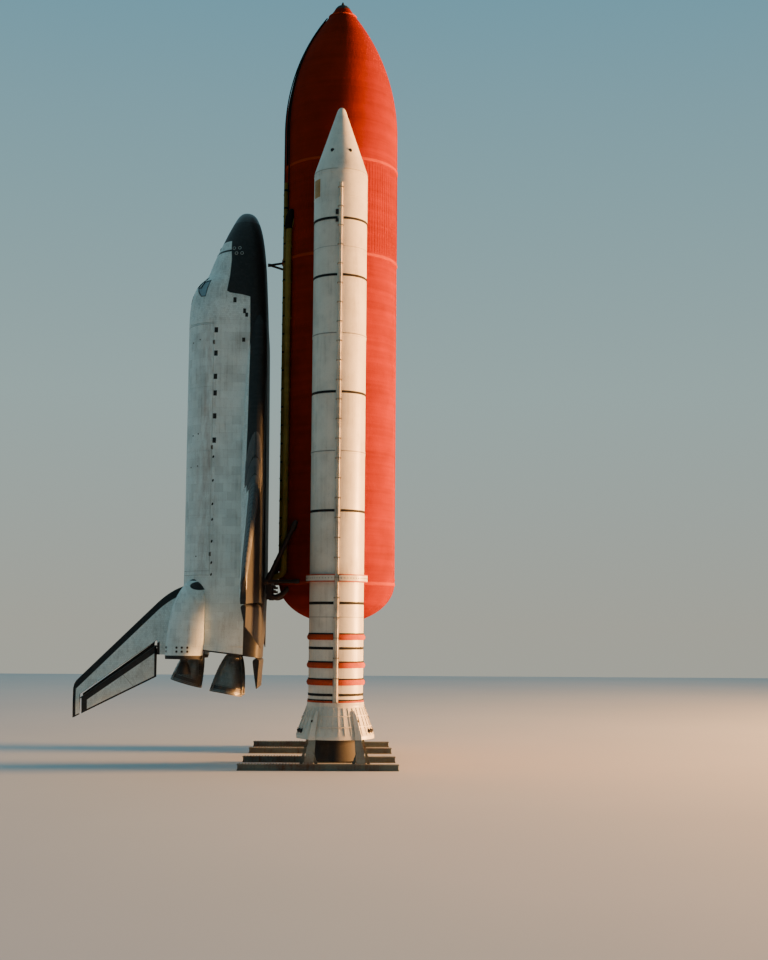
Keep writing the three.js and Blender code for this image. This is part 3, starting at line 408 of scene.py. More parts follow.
spike = [(322.5, 0), (323, 1.4), (326, 2.8), (334, 6), (336, 11), (338, 15.5), (344, 21), (350, 24.5)]
spike += [(350, 0)]
nose = Form().turned(spike, tank_at, 48)
nose.turned([(350.2, 0), (350.2, 24.5), (370.9, ogive(OGIVE_TOP)), (370.9, 0)], tank_at, 48, 1)
piece(nose, "nose_spike", [spike_finish, foam], replaces="tank_nose_spike")
oxygen = [(OGIVE_TOP, 0)] + [(s, ogive(s)) for s in spaced(44, OGIVE_TOP, OGIVE_FOOT)]
oxygen += [(INTERTANK_TOP - 0.1, TANK_RADIUS), (INTERTANK_TOP - 0.1, 0)]
piece(Form().turned(oxygen, tank_at), "oxygen_tank_foam", [foam], replaces="oxygen_tank")
hydrogen = [(INTERTANK_FOOT, 0)]
hydrogen += [(s, TANK_RADIUS) for s in spaced(18, INTERTANK_FOOT, DOME_TOP)]
for t in spaced(24, 0, pi / 2)[1:]:
    hydrogen.append((DOME_TOP + (DOME_FOOT - DOME_TOP) * sin(t), TANK_RADIUS * cos(t)))
piece(
    Form().turned(hydrogen, tank_at), "hydrogen_tank_foam", [foam], replaces="hydrogen_tank"
)
rows = [(INTERTANK_TOP, 0), (INTERTANK_TOP, TANK_RADIUS + 0.1)]
rows += [(INTERTANK_FOOT - 0.1, TANK_RADIUS + 0.1), (INTERTANK_FOOT - 0.1, 0)]
middle = Form().turned(rows, tank_at)
for side in (1, -1):
    # Thrust panel and the ball fitting that the booster hangs from
    start = side * 90 - 21
    middle.hoop(tank_at, 991, 128, TANK_RADIUS - 1, TANK_RADIUS + STRINGER_RISE, start, 42, 0, 144)
    plate = [(TANK_RADIUS - 6, 24, 17), (169, 22, 16), (172, 18, 13), (172, 0.1, 0.1)]
    middle.rings(
        [[tank_at(x, side * r, 985.7 + s) for x, s in square(wide, tall)] for r, tall, wide in plate]
    )
    middle.tube([tank_at(0, side * r, 985.7) for r in (158, 175.3)], 9, 24)
piece(middle, "intertank_foam", [foam], replaces="intertank")
stringer = Form()
profile = [(-1.9, -0.5), (-1.3, STRINGER_RISE), (1.3, STRINGER_RISE), (1.9, -0.5)]
ends = [(860, -0.3), (866, 0), (1117, 0), (1123, -0.3)]
stringer.rings([[tank_at(TANK_RADIUS + z * (1 + low), y, s) for y, z in profile] for s, low in ends])
per_arc = 39  # on each half of the intertank, between its two thrust panels
for name, first in (("fore", -63.5), ("aft", 116.5)):
    repeated(
        stringer, f"intertank_stringers_{name}", foam, "tank_foam", per_arc, centre=tank_at(0, 0, 0),
        first=first, turn=127 / (per_arc - 1),
    )
joints = Form()
seams = [(INTERTANK_TOP, 4.0, 1.7), (INTERTANK_FOOT, 4.5, 1.7), (DOME_TOP + 4, 5.0, 1.5)]
for station, half, rise in seams:
    flat = half - 0.3 * half
    rows = [(-half, -2), (-half, 0.1), (-flat, rise), (flat, rise), (half, 0.1), (half, -2)]
    joints.turned([(station + s, TANK_RADIUS + r) for s, r in rows], tank_at, looped=True)
joints.hoop(tank_at, 373, 2, ogive(372) - 2, ogive(376) + 0.3)
# Manhole cover and fill fitting under the dome
joints.turned([(2168, 0), (2168, 18), (2172.6, 18), (2173.6, 15), (2173.6, 0)], tank_at, 48)
piece(joints, "foam_closeouts", [seam_foam])


# Lines down the tank's orbiter side: the oxygen feedline in its foam jacket on sliding
# brackets, the two thin pressure lines, and the square cable tray, all strapped to the skin.
FEED_ANGLE, FEED_REACH, FEED_RADIUS = 33.0, TANK_RADIUS + 11.5, 8.5
TRAY_ANGLE = 20.0


def beside_tank(reach, angle, station):
    """A place on the tank's orbiter side, at an angle towards the right wing."""
    turn = radians(angle)
    return tank_at(-reach * cos(turn), -reach * sin(turn), station)


def eased(points, reach, steps=7):
    """A path whose corners are rounded."""
    path = [points[0]]
    for before, corner, after in zip(points, points[1:], points[2:]):
        near = min(reach * INCH, (corner - before).length / 2, (after - corner).length / 2)
        a = corner + (before - corner).normalized() * near
        b = corner + (after - corner).normalized() * near
        for t in spaced(steps, 0, 1):
            path.append(a * (1 - t) ** 2 + corner * 2 * t * (1 - t) + b * t**2)
    return path + [points[-1]]


line_foam = foam_finish("feedline_jacket", (142, 120, 58), (98, 76, 32), bands=0.3)
# Near-black foam: the orange foam's look in shade, painted on the feedline cap, the pressure lines and
# their clamps, the tray straps and the nose tray.
shade_painted_foam = foam_finish("feedline_foam_in_painted_shade", (34, 27, 24), (18, 15, 14), bands=0.3)
route = [
    beside_tank(FEED_REACH - 14, FEED_ANGLE, 1012), beside_tank(FEED_REACH, FEED_ANGLE, 1050),
    beside_tank(FEED_REACH, FEED_ANGLE, 2036), tank_at(-194, -76, 2054),
]
feed = Form().tube(eased(route, 16), FEED_RADIUS, 28)
piece(feed, "feedline_tube", [line_foam], replaces="oxygen_feedline")
cap = Form().tube(
    [
        beside_tank(r, FEED_ANGLE, s)
        for r, s in ((167, 987), (168, 990), (170, 998), (174, 1012), (177, 1030), (177, 1046))
    ],
    [3, 6.5, 10, 12, 11.5, 10],
    28,
)
piece(cap, "feedline_cap", [shade_painted_foam])
joint_ring = Form().hoop(
    lambda x, y, s: beside_tank(FEED_REACH, FEED_ANGLE, s) + Vector((x, y, 0)) * INCH, 1100, 2.2,
    FEED_RADIUS - 1, FEED_RADIUS + 1.3, sides=28,
)
corner = beside_tank(FEED_REACH, FEED_ANGLE, 1092)
foot = beside_tank(TANK_RADIUS - 1, FEED_ANGLE, 1098)
joint_ring.tube([foot, corner], 2.4, 10)
repeated(
    joint_ring, "feedline_brackets", line_foam, "tank_foam", 9, centre=tank_at(0, 0, 0),
    step=(0, 0, -104 * INCH),
)
tray_low, tray_high = 900, 2020
tray = Form()
profile = [(-5, 0.3), (-5, 6.6), (-3.6, 8), (3.6, 8), (5, 6.6), (5, 0.3)]


def on_tray(across, rise, station):
    turn = radians(TRAY_ANGLE)
    out = Vector((-cos(turn), -sin(turn), 0))
    over = Vector((sin(turn), -cos(turn), 0))
    reach = TANK_RADIUS + STRINGER_RISE + rise
    return tank_at(0, 0, station) + (out * reach + over * across) * INCH


tray.rings([[on_tray(a, r, s) for a, r in profile] for s in (tray_low, tray_high)])
piece(tray, "cable_tray_box", [line_foam], replaces="cable_tray")
strap = Form()
profile = [(-6.6, -1.0), (-5.6, 7.2), (-3.9, 8.7), (3.9, 8.7), (5.6, 7.2), (6.6, -1.0)]
strap.rings([[on_tray(a, r, s) for a, r in profile] for s in (920, 925)])
repeated(
    strap, "tray_straps", shade_painted_foam, "tank_foam", 21, centre=tank_at(0, 0, 0), step=(0, 0, -53 * INCH)
)
lines, clamps = Form(), Form()
for angle in (26.6, 13.2):
    path = []
    for station in [*spaced(22, 384, 745), *spaced(6, 790, 852), *spaced(20, 872, 2016)]:
        path.append(beside_tank(tank_skin(station) + 3.6, angle, station))
    lines.tube(path, 1.7, 10)
    clamps.tube([beside_tank(TANK_RADIUS + r, angle, 930) for r in (-1, 5.9)], 2.2, 8)
piece(lines, "pressure_lines", [shade_painted_foam])
repeated(
    clamps, "pressure_line_clamps", shade_painted_foam, "tank_foam", 17, centre=tank_at(0, 0, 0),
    step=(0, 0, -64 * INCH),
)
nose_tray = Form()
rings = []
for station in [*spaced(26, 392, 745), 790, 846]:
    reach, turn = tank_skin(station), radians(TRAY_ANGLE)
    ring = []
    for across, rise in ((-3, -1), (-3, 3.4), (3, 3.4), (3, -1)):
        over = Vector((sin(turn), -cos(turn), 0)) * across * INCH
        ring.append(beside_tank(reach + rise, TRAY_ANGLE, station) + over)
    rings.append(ring)
nose_tray.rings(rings)
piece(nose_tray, "nose_cable_tray", [shade_painted_foam])


# Struts: the two-legged bipod under the orbiter's nose, and the aft frame of tubes between
# the tank's foot, the orbiter's belly and each booster's ring. Forged ends, foam-covered feet.
BELLY_X = -201.5  # the orbiter's belly from the tank's axis
RING_STATION = 2054
# Strut colour: the tank foam's dark brown as it looks in shade, painted on as a darker copy of the foam
# (painted shade), with real grime over it.
strut_painted_shade, tree, shader, place, _ = weathered(
    "strut_painted_shade", (52, 34, 28), (22, 19, 19), 0.6, specks=0.5, roughness=0.6
)
relief(tree, shader, cloudy(tree, place, 40), 0.003)

bipod = Form()
foot_x = -sqrt((TANK_RADIUS + 1.6) ** 2 - 44**2)
for side in (1, -1):
    foot = tank_at(foot_x + 2, side * 44, INTERTANK_FOOT + 4)
    head = tank_at(BELLY_X - 5, 0, INTERTANK_FOOT)
    near = foot.lerp(head, 0.16)
    bipod.tube([foot, near, foot.lerp(head, 0.2), head], [4.6, 4.4, 3.3, 3.3], 20)
bipod.tube([tank_at(BELLY_X + x, 0, INTERTANK_FOOT) for x in (-10, -5, -1, 2)], [5.2, 5.2, 4.4, 2.6], 24)
piece(bipod, "bipod_struts", [strut_painted_shade], replaces="forward_bipod")
ramps = Form()
for side in (1, -1):
    rows = [(-30, 10, 0.4), (-6, 9, 9), (8, 8, 8.5), (16, 6, 0.4)]
    rings = []
    for along, wide, tall in rows:
        turn = asin(44 / (TANK_RADIUS + 1.6))
        out = Vector((-cos(turn), side * sin(turn), 0))
        over = Vector((sin(turn), side * cos(turn), 0))
        base = tank_at(0, 0, INTERTANK_FOOT + 4 + along)
        ring = []
        for a in spaced(10, 0, pi):
            reach = TANK_RADIUS - 2 + (tall + 2) * sin(a)
            ring.append(base + (out * reach + over * wide * cos(a)) * INCH)
        rings.append(ring)
    ramps.rings(rings)
piece(ramps, "bipod_ramps", [foam])

band = [(DOME_TOP + s, TANK_RADIUS + r) for s, r in ((-12, -3), (-12, 1), (-6.2, 1), (-6.2, -3))]
struts = Form().turned(band, tank_at, index=1, looped=True)


def strut(a, b, radius):
    """A tube with forged ends and a raised collar at each quarter."""
    reaches = [(0, 0.8), (0.05, 1.25), (0.12, 1.25), (0.16, 1), (0.3, 1), (0.3, 1.12), (0.33, 1.12)]
    reaches += [(0.33, 1), (0.67, 1), (0.67, 1.12), (0.7, 1.12), (0.7, 1)]
    reaches += [(0.84, 1), (0.88, 1.25), (0.95, 1.25), (1, 0.8)]
    struts.tube([a.lerp(b, t) for t, _ in reaches], [radius * r for _, r in reaches], 24)


for side in (1, -1):
    top = tank_at(BELLY_X + 7, side * 96.5, DOME_TOP)
    for angle, station, radius in ((47, DOME_TOP - 170, 6.8), (52, DOME_TOP, 5.2)):
        turn = radians(angle)
        reach = TANK_RADIUS + 2.2
        foot = tank_at(-reach * cos(turn), side * reach * sin(turn), station)
        strut(foot, top, radius)
    ball = [(-4, 8), (0, 9), (6, 9), (12, 7.5), (16, 4)]
    struts.tube([tank_at(BELLY_X + x, side * 96.5, DOME_TOP) for x, _ in ball], [r for _, r in ball])
    for end in (1, -1):
        x = end * 72
        tank_y = sqrt((TANK_RADIUS + 1) ** 2 - x**2)
        ring_x = x * 52 / 72
        ring_y = 250.5 - sqrt(83.6**2 - ring_x**2)
        strut(tank_at(x, side * tank_y, RING_STATION), tank_at(ring_x, side * ring_y, RING_STATION), 4.2)
beam = [(-104.5, 4.5, 5), (-100, 6.2, 6.8), (100, 6.2, 6.8), (104.5, 4.5, 5)]
rings = []
for y, deep, tall in beam:
    corners = []
    for t in circle(16, pi / 16):
        c, s = [copysign(abs(share) ** 0.5, share) for share in (cos(t), sin(t))]
        corners.append(tank_at(BELLY_X + 12.5 + deep * c, y, DOME_TOP + tall * s))
    rings.append(corners)
struts.rings(rings)
for side in (1, -1):
    # Umbilical plate: its shell, its cover and two pipes behind it
    for deep, wide, high in (((3.4, 17), (60, 84), (6, 34)), ((2.6, 17.8), (62, 82), (8.5, 31))):
        corners = [(BELLY_X + deep[k], side * wide[k], DOME_TOP + high[k]) for k in (0, 1)]
        struts.box(*corners, tank_at)
    for station in (DOME_TOP + 14, DOME_TOP + 26):
        struts.tube([tank_at(BELLY_X + x, side * y, station) for x, y in ((17, 72), (30, 70))], 3.4)
    # Jacketed line from the umbilical plate round to the dome
    hose = [(BELLY_X + 16, 72, 40), (BELLY_X + 30, 74, 44), (BELLY_X + 48, 78, 36)]
    hose += [(BELLY_X + 62, 84, 22), (BELLY_X + 76, 88, 12)]
    hose = [tank_at(x, side * y, DOME_TOP + s) for x, y, s in hose]
    struts.tube(eased(hose, 12, 4), 7.5, 20)
    struts.box((BELLY_X + 5, side * 63, DOME_TOP + 32), (BELLY_X + 19, side * 81, DOME_TOP + 50), tank_at)
piece(struts, "strut_frame_tubes", [strut_painted_shade, foam], replaces="aft_strut_frame")


# Boosters: a nose cone and forward skirt of aluminium, a four-segment steel motor case, and a
# flared aft skirt, all painted white. Black and grey rings cover the joints of the case; a black
# band along the top of each orange stiffener ring is painted shade.
BOOSTER_RADIUS = 73.0
BOOSTER_SIDES = 96
ATTACH_STATION = 1511


def painted(name, clean, dirt, clouds, runs, specks, roughness=0.5, ripple=0.0):
    wear = (clouds, runs, specks)
    made, tree, shader, place, worn = weathered(name, clean, dirt, *wear, roughness=roughness)
    rough = ranged(tree, worn["Mask"], 0, 0.8, roughness, min(1.0, roughness + 0.25))
    wired(tree, shader, {"Roughness": rough})
    relief(tree, shader, cloudy(tree, place, 24, 5, 0.65), 0.0025, 0.35 + ripple)
    return made


booster_paint = painted("booster_paint", (224, 218, 206), (104, 96, 86), 0.26, 0.28, 0.2, 0.36)
tunnel_paint = painted("tunnel_paint", (214, 204, 186), (92, 78, 62), 0.55, 0.5, 0.45)
strap_paint = painted("tunnel_straps", (172, 158, 136), (100, 86, 70), 0.5, 0.4, 0.5)
band_black = painted("black_band_joint_and_shade", (11, 11, 12), (34, 31, 29), 0.4, 0.4, 0.3, 0.85)
band_grey = painted("joint_band_grey", (150, 146, 138), (86, 80, 72), 0.5, 0.4, 0.4)
ring_orange = painted("stiffener_foam", (186, 66, 24), (112, 48, 26), 0.5, 0.3, 0.5, 0.8)
bolt_metal = painted("bolt_metal", (120, 116, 108), (66, 58, 50), 0.5, 0.3, 0.5, 0.45)
nozzle_carbon = painted("nozzle_carbon", (46, 44, 44), (88, 82, 76), 0.5, 0.6, 0.4, 0.75)
port_dark = painted("port_dark", (30, 28, 28), (56, 50, 46), 0.4, 0.3, 0.3, 0.7)
patch_tan = painted("skirt_patch", (190, 146, 84), (120, 86, 50), 0.5, 0.4, 0.5)

BOOSTERS = ((1, "left"), (-1, "right"))
AXIS_X, AXIS_Y = 3.65379, 3.18135  # a booster's axis, in metres


def booster_axes(side):
    """The axes of one booster: X away from the orbiter, Y to the left."""
    return lambda x, y, station: Vector(
        (AXIS_X + x * INCH, side * AXIS_Y + y * INCH, (2009 - station) * INCH)
    )


def cone_radius(station):
    return 13 + (station - 214) * 60 / 178


def skirt_radius(station):
    return 75 + (station - 1847) * 29 / 80


for side, where in BOOSTERS:
    booster_at = booster_axes(side)
    outboard = side * 90.0  # angle of the systems tunnel
    cone = [(200, 0), (200.5, 2.6), (201.5, 5), (203.5, 7.6), (206, 9.5), (210, 11.5), (214, 13)]
    cone += [(s, cone_radius(s)) for s in (285.8, 286.2)]
    cone += [(286.8, 37.0), (287.2, 37.7), (391, 72.7), (393, 73.2), (398, 73.4), (398, 0)]
    shape = Form().turned(cone, booster_at, BOOSTER_SIDES)
    for x in (-24, 24):
        # Separation motors blow through ports high on the outboard side
        reach = cone_radius(338)
        wide = sqrt(reach**2 - x**2)
        mouth = booster_at(x, side * (wide + 1.6), 338)
        shape.tube([booster_at(x, side * (wide - 4), 338), mouth], [5.6, 5.2], 20, 1)
    piece(
        shape, f"booster_cone_{where}", [booster_paint, port_dark],
        replaces=f"booster_nose_cone_{where}",
    )
    rows = [(398.1, 0), (398.1, 73.4), (402, 73.7), (526, 73.7), (529, 74.3), (531.4, 74.3), (531.4, 0)]
    shape = Form().turned(rows, booster_at, BOOSTER_SIDES)
    shape.box((-14, -side * 70, 428), (14, -side * 75.2, 458), booster_at)
    shape.hoop(booster_at, 404, 0.8, 73, 74.4)
    shape.hoop(booster_at, 470, 0.6, 73, 74.2)
    turn = -152 if side < 0 else 152
    shape.hoop(booster_at, 444, 25, 73, 74.1, turn - 12, 24, 1)
    shape.hoop(booster_at, 444, 18, 73, 74.9, turn - 8, 16, 1)
    piece(
        shape, f"booster_skirt_{where}", [booster_paint, patch_tan],
        replaces=f"booster_forward_skirt_{where}",
    )
    rows = [(531.5, 0), (531.5, BOOSTER_RADIUS)]
    for joint in (851.5, 1171.5):
        rows += [(joint - 6, 73), (joint - 5.5, 73.7), (joint + 5.5, 73.7), (joint + 6, 73)]
    rows += [(1836.9, 73), (1836.9, 0)]
    piece(
        Form().turned(rows, booster_at, BOOSTER_SIDES), f"motor_case_{where}", [booster_paint],
        replaces=f"booster_motor_case_{where}",
    )
    # Bands round the case stop short of the tunnel
    bands = Form()
    gap = 6.0
    start, sweep = outboard + gap, 360 - 2 * gap
    rows = [(534, 3.2, 1.5, 0), (396, 0.5, 0.9, 1)]
    rows += [(station, 3.4, 0.5, 0) for station in (691.5, 1011.5, 1331.5)]
    rows += [(851.5, 1.4, 1.0, 1), (1171.5, 1.4, 1.0, 1), (612, 0.5, 0.25, 1), (1577, 3.6, 0.6, 0)]
    rows += [(1614, 0.7, 0.4, 1), (1696, 3.4, 0.6, 0), (1818, 3.4, 0.8, 0)]
    # Orange stiffener rings, each with a thin black band along its top: painted shade of the ring's upper
    # face.
    for station in (1667, 1741, 1786):
        rows += [(station, half, rise, 2) for half, rise in ((2.2, 5.2), (5.2, 4.2), (7.2, 2.6))]
        rows.append((station - 8.8, 2.2, 1.6, 0))
    # The orange ring at the case's foot, with the same black band of painted shade along its top.
    rows += [(1836, 2.4, 2.6, 2), (1831.8, 1.6, 1.6, 0)]
    for station, half, rise, colour in rows:
        bands.hoop(booster_at, station, half, 72.6, 73 + rise, start, sweep, colour)
    piece(bands, f"case_bands_{where}", [band_black, band_grey, ring_orange])
    # Systems tunnel: a boxed run of covers, strapped down
    covers = Form()
    half, low, high = 5.0, 73.4, 81.0
    profile = [(-half, low), (-half, high - 2), (-half + 1.6, high), (half - 1.6, high)]
    profile += [(half, high - 2), (half, low)]
    joints_at = [436, *[531.5 + 64 * i for i in range(21)], 1837]
    for top, foot in zip(joints_at, joints_at[1:]):
        ends = ((top + 0.4, 0.6), (top + 0.8, 0), (foot - 0.8, 0), (foot - 0.4, 0.6))
        rings = [
            [
                booster_at(x * (1 - 0.1 * e), side * (min(y, high - e) if y > low else y), s)
                for x, y in profile
            ]
            for s, e in ends
        ]
        covers.rings(rings)
    covers.box((-4.4, side * low, 436), (4.4, side * 79.8, 1836), booster_at)
    piece(
        covers, f"tunnel_covers_{where}", [tunnel_paint],
        replaces=f"systems_tunnel_{where}",
    )
    clamp = Form()
    for reach, wide, half in ((82.2, 6.0, 1.5), (75.4, 7.8, 2.0)):
        clamp.box((-wide, side * 73.2, 450 - half), (wide, side * reach, 450 + half), booster_at)
    repeated(
        clamp, f"tunnel_clamps_{where}", strap_paint, "booster_paint", 26, centre=booster_at(0, 0, 450),
        step=(0, 0, -53 * INCH),
    )
    # Attach ring: two flanges on a web, open at the tunnel
    ring = Form()
    gap = 4.3
    start, sweep = outboard + gap, 360 - 2 * gap
    for low, high, half in ((81.4, 82.9, 8.4), (73.1, 74.2, 8.4), (74, 81.6, 6.4)):
        ring.hoop(booster_at, ATTACH_STATION, half, low, high, start, sweep)
    for rise in (-8.6, 8.6):
        ring.hoop(booster_at, ATTACH_STATION + rise, 1.3, 73.1, 83.4, start, sweep, 1)
    piece(
        ring, f"attach_ring_flanges_{where}", [booster_paint, ring_orange],
        replaces=f"attach_ring_{where}",
    )
    bolt = Form().tube([booster_at(r, 0, ATTACH_STATION) for r in (82.4, 83.9)], 1.3, 6)
    repeated(
        bolt, f"attach_ring_bolts_{where}", bolt_metal, "engine_metal", 58,
        centre=booster_at(0, 0, ATTACH_STATION), first=outboard + 9, turn=6,
    )
    # Aft skirt: rolled panels on ring frames, with upright ribs and four hold-down posts
    skirt = [(1837.1, 0), (1837.1, 74), (1839, 76.2), (1843, 76.2), (1846, 75.2), (1850, 76)]
    skirt += [(s, skirt_radius(s)) for s in (1872, 1872.5, 1900, 1900.5)]
    skirt += [(1922, 102.3), (1925, 104), (1933, 104), (1933, 100.6), (1928, 100.2)]
    skirt += [(1905, 93.6), (1882, 84), (1860, 74.5), (1852.8, 70), (1852.8, 0)]
    shape = Form().turned(skirt, booster_at, BOOSTER_SIDES)
    for station in (1872, 1900):
        reach = skirt_radius(station)
        shape.hoop(booster_at, station, 1.1, reach - 1, reach + 2.2)
    for sx in (-1, 1):
        for sy in (-1, 1):
            # Forged post: a foot on the haunch, a body that narrows up the skirt, and a stud
            fx, fy = sx * 60, sy * 86
            rows = [(1932.9, 9, fx, fy), (1924, 9, fx, fy), (1920, 7.6, fx, fy)]
            rows += [(1900, 6.6, sx * 56, sy * 80), (1872, 5, sx * 50.5, sy * 72)]
            rows += [(1859, 2.4, sx * 47, sy * 67)]
            shape.rings(
                [[booster_at(x + a, y + b, s) for a, b in square(half, half)] for s, half, x, y in rows]
            )
    piece(
        shape, f"aft_skirt_shell_{where}", [booster_paint], replaces=f"aft_skirt_{where}"
    )
    rib = Form()
    rows = [(1852, 76.4, 78.4), (1900, 93.6, 96.2), (1923, 102, 104)]
    rib.rings(
        [
            [booster_at(r, y, s) for r, y in ((low - 1, -1), (high, -1), (high, 1), (low - 1, 1))]
            for s, low, high in rows
        ]
    )
    repeated(
        rib, f"aft_skirt_ribs_{where}", booster_paint, "booster_paint", 36, centre=booster_at(0, 0, 0),
        first=5, turn=10,
    )
    details = Form()
    for turn in (22, 158, 202, 338):
        # Separation motor bells low on the skirt
        for spread in (-4.5, 4.5):
            angle = radians(turn + spread)
            out = Vector((cos(angle), sin(angle), 0))
            base = booster_at(0, 0, 1908) + out * 94 * INCH
            tip = booster_at(0, 0, 1914) + out * 103.4 * INCH
            details.tube([base, base.lerp(tip, 0.7), tip], [3.4, 4.4, 5.4], 16)
    details.hoop(booster_at, 1858, 3, 79.4, 80.2, 4, 4, 1)
    for low, high in ((512, 525), (538, 546)):
        # Cable fittings beside the tunnel's top
        details.box((-13.5, side * 72.5, low), (-5.2, side * 78.4, high), booster_at)
    for turn in (48, 132, 228, 312):
        angle = radians(turn)
        out = Vector((cos(angle), sin(angle), 0))
        base = booster_at(0, 0, 1886) + out * 88 * INCH
        details.tube([base, base + out * 4 * INCH], 3.2, 12)
    piece(details, f"skirt_motors_{where}", [port_dark, patch_tan])
    # Heat curtain round the nozzle, then the nozzle on its flexible bearing
    curtain = [(1918, 99), (1915, 86), (1912, 74), (1914, 74), (1917, 86), (1920, 99)]
    piece(
        Form().turned(curtain, booster_at, 72, looped=True), f"heat_curtain_{where}", [nozzle_carbon],
    )
    pivot = Form()
    rows = [(1853.2, 0)] + [(1868 - 15 * cos(t), 15 * sin(t)) for t in spaced(16, 0.2, pi - 0.05)]
    pivot.turned([*rows, (1883, 0)], booster_at, 48)
    piece(
        pivot, f"nozzle_bearing_ball_{where}", [nozzle_carbon], f"nozzle_bearing_{where}",
        f"nozzle_bearing_{where}",
    )
    bell = [(1883.1, 0), (1883.1, 43), (1886, 44), (1892, 46.4), (1910, 53), (1910, 54.2)]
    bell += [(1914, 55.5), (1930, 61), (1950, 65.6), (1950, 66.8), (1953, 67.4), (1970, 70.6)]
    bell += [(1982, 73), (1986, 74.6), (1990, 74.8), (1990, 71.8), (1960, 65), (1930, 57.5)]
    bell += [(1908, 48.6), (1898, 42.6), (1897, 34), (1896.5, 0)]
    piece(
        Form().turned(bell, booster_at, BOOSTER_SIDES), f"booster_bell_{where}", [nozzle_carbon],
        f"booster_nozzle_{where}", f"booster_nozzle_{where}", smooth=40,
    )


# Haunches: welded steel box beams with cast hold-down posts, painted grey-green and rusting
# in patches. A stud and nut through each post holds the booster's foot down.
haunch_paint = painted("haunch_paint", (104, 114, 108), (92, 56, 36), 0.6, 0.7, 0.6, 0.65, 0.3)
post_paint = painted("post_paint", (128, 132, 124), (96, 62, 40), 0.6, 0.7, 0.5, 0.6, 0.3)
for side, where in BOOSTERS:
    haunch_at = booster_axes(side)
    for row in (-1, 1):
        place = "outer" if row == side else "inner"
        low, high = sorted((row * 100, row * 124))
        shape = Form()
        # Beam: top and bottom plates, web plates set in, and stiffeners along the sides
        shape.box((-252, low, 2006.5), (166, high, 2009), haunch_at)
        shape.box((-252, low, 1993), (166, high, 1995.2), haunch_at)
        shape.box((-250.5, low + 2, 1995), (164.5, high - 2, 2006.7), haunch_at)
        for sx in (-1, 1):
            px, py = sx * 60, row * 86
            rings = []
            rows = [(14, 1995, 8), (14, 1992, 8), (12.4, 1991, 7.8), (10.4, 1950, 2.2)]
            for half, station, out in [*rows, (9, 1938, 0), (9, 1933.1, 0)]:
                x, y = px + sx * out, py + row * out * 2.5
                rings.append([haunch_at(x + a, y + b, station) for a, b in square(half, half)])
            shape.rings(rings, 1)
            for turn in (-1, 1):
                # Gussets up each side of the post
                foot = px + sx * 8 + turn * 15
                gusset = [(foot + turn * 9, 1994), (foot, 1994), (foot - turn * 4, 1958)]
                for y in (py + row * 17, py + row * 22):
                    rings = [[haunch_at(x, y + w, s) for x, s in gusset] for w in (-0.8, 0.8)]
                    shape.rings(rings)
        piece(
            shape, f"haunch_{where}_{place}", [haunch_paint, post_paint],
            replaces=f"holddown_haunch_{where}_{place}",
        )
        stiffener = Form()
        stiffener.box((-246.6, low + 0.3, 1995), (-245.4, high - 0.3, 2006.7), haunch_at)
        repeated(
            stiffener, f"haunch_stiffeners_{where}_{place}", haunch_paint, "haunch_paint", 35,
            centre=haunch_at(0, 0, 2009), step=(12 * INCH, 0, 0),
        )
        nuts = Form()
        for y in (low + 3.5, high - 3.5):
            nuts.tube([haunch_at(-246, y, 1993.2), haunch_at(-246, y, 1991.6)], 1.5, 6)
        repeated(
            nuts, f"haunch_bolts_{where}_{place}", bolt_metal, "haunch_paint", 19,
            centre=haunch_at(0, 0, 2009), step=(8 * INCH, 0, 0),
        )


# Orbiter skin: aluminium covered with silica tiles, white above and black below, in a close
# grid with filled gaps. The nose cap is grey carbon. The rings of every section are
# superellipses from one table, so that nose, cabin, bay and tail run into each other.
BODY = [
    # station, half width, bottom, top, height of the widest part, fullness above and below
    [236.5, 4, 333, 341, 337, 2, 2],
    [240, 18, 321, 352, 337, 2, 2],
    [248, 31.5, 311, 361, 336, 2, 2],
    [260, 45, 304, 369, 336, 2, 2.1],
    [275, 56, 298, 377, 336, 2, 2.2],
    [300, 70, 291, 390, 337, 2, 2.4],
    [340, 82, 284.5, 409, 340, 2, 2.7],
    [395, 91.5, 279, 434, 346, 2, 3],
    [435, 96, 276.5, 450, 354, 2, 3.3],
    [458, 98, 275.5, 474, 362, 2, 3.6],
    [482, 100, 274.5, 488, 370, 2, 3.9],
    [514, 102, 273, 496, 382, 2, 4.4],
    [545, 104, 272, 499, 393, 2, 5],
    [576, 105, 271, 500, 400, 2, 6],
    [640, 105, 269, 500, 400, 2, 20],
    [1040, 105, 266, 500, 400, 2, 20],
    [1307, 105, 265, 500, 400, 2, 20],
    [1387, 105, 267, 502, 392, 2.1, 14],
    [1460, 110, 270, 508, 380, 2.3, 9],
    [1526, 116, 275, 514, 360, 2.6, 7],
    [1532, 116, 275, 514, 360, 2.6, 7],
]
BODY_SIDES = 120
BASE = 1526
TILE = 6 * INCH
ZERO_STATION, ZERO_HEIGHT = 1811.0, 351.2  # the frame's origin on the orbiter's axes


def orbiter_at(station, y, height):
    return Vector(((ZERO_HEIGHT - height) * INCH, -y * INCH, (ZERO_STATION - station) * INCH))


def row_at(rows, place):
    """The row of a table at any place, on a curve that never overshoots."""
    k = max(0, min(len(rows) - 2, sum(row[0] <= place for row in rows) - 1))
    first, second = rows[k], rows[k + 1]
    step = second[0] - first[0]
    t = (place - first[0]) / step
    made = [place]
    for c in range(1, len(first)):
        slope = (second[c] - first[c]) / step
        ends = []
        for a, b in ((k - 1, k), (k + 1, k + 2)):
            if a < 0 or b >= len(rows):
                ends.append(slope)
                continue
            other = (rows[b][c] - rows[a][c]) / (rows[b][0] - rows[a][0])
            ends.append(2 * slope * other / (slope + other) if slope * other > 0 else 0.0)
        rise = second[c] - first[c]
        a, b = ends[0] * step, ends[1] * step
        made.append(first[c] + a * t + (3 * rise - 2 * a - b) * t**2 + (a + b - 2 * rise) * t**3)
    return made


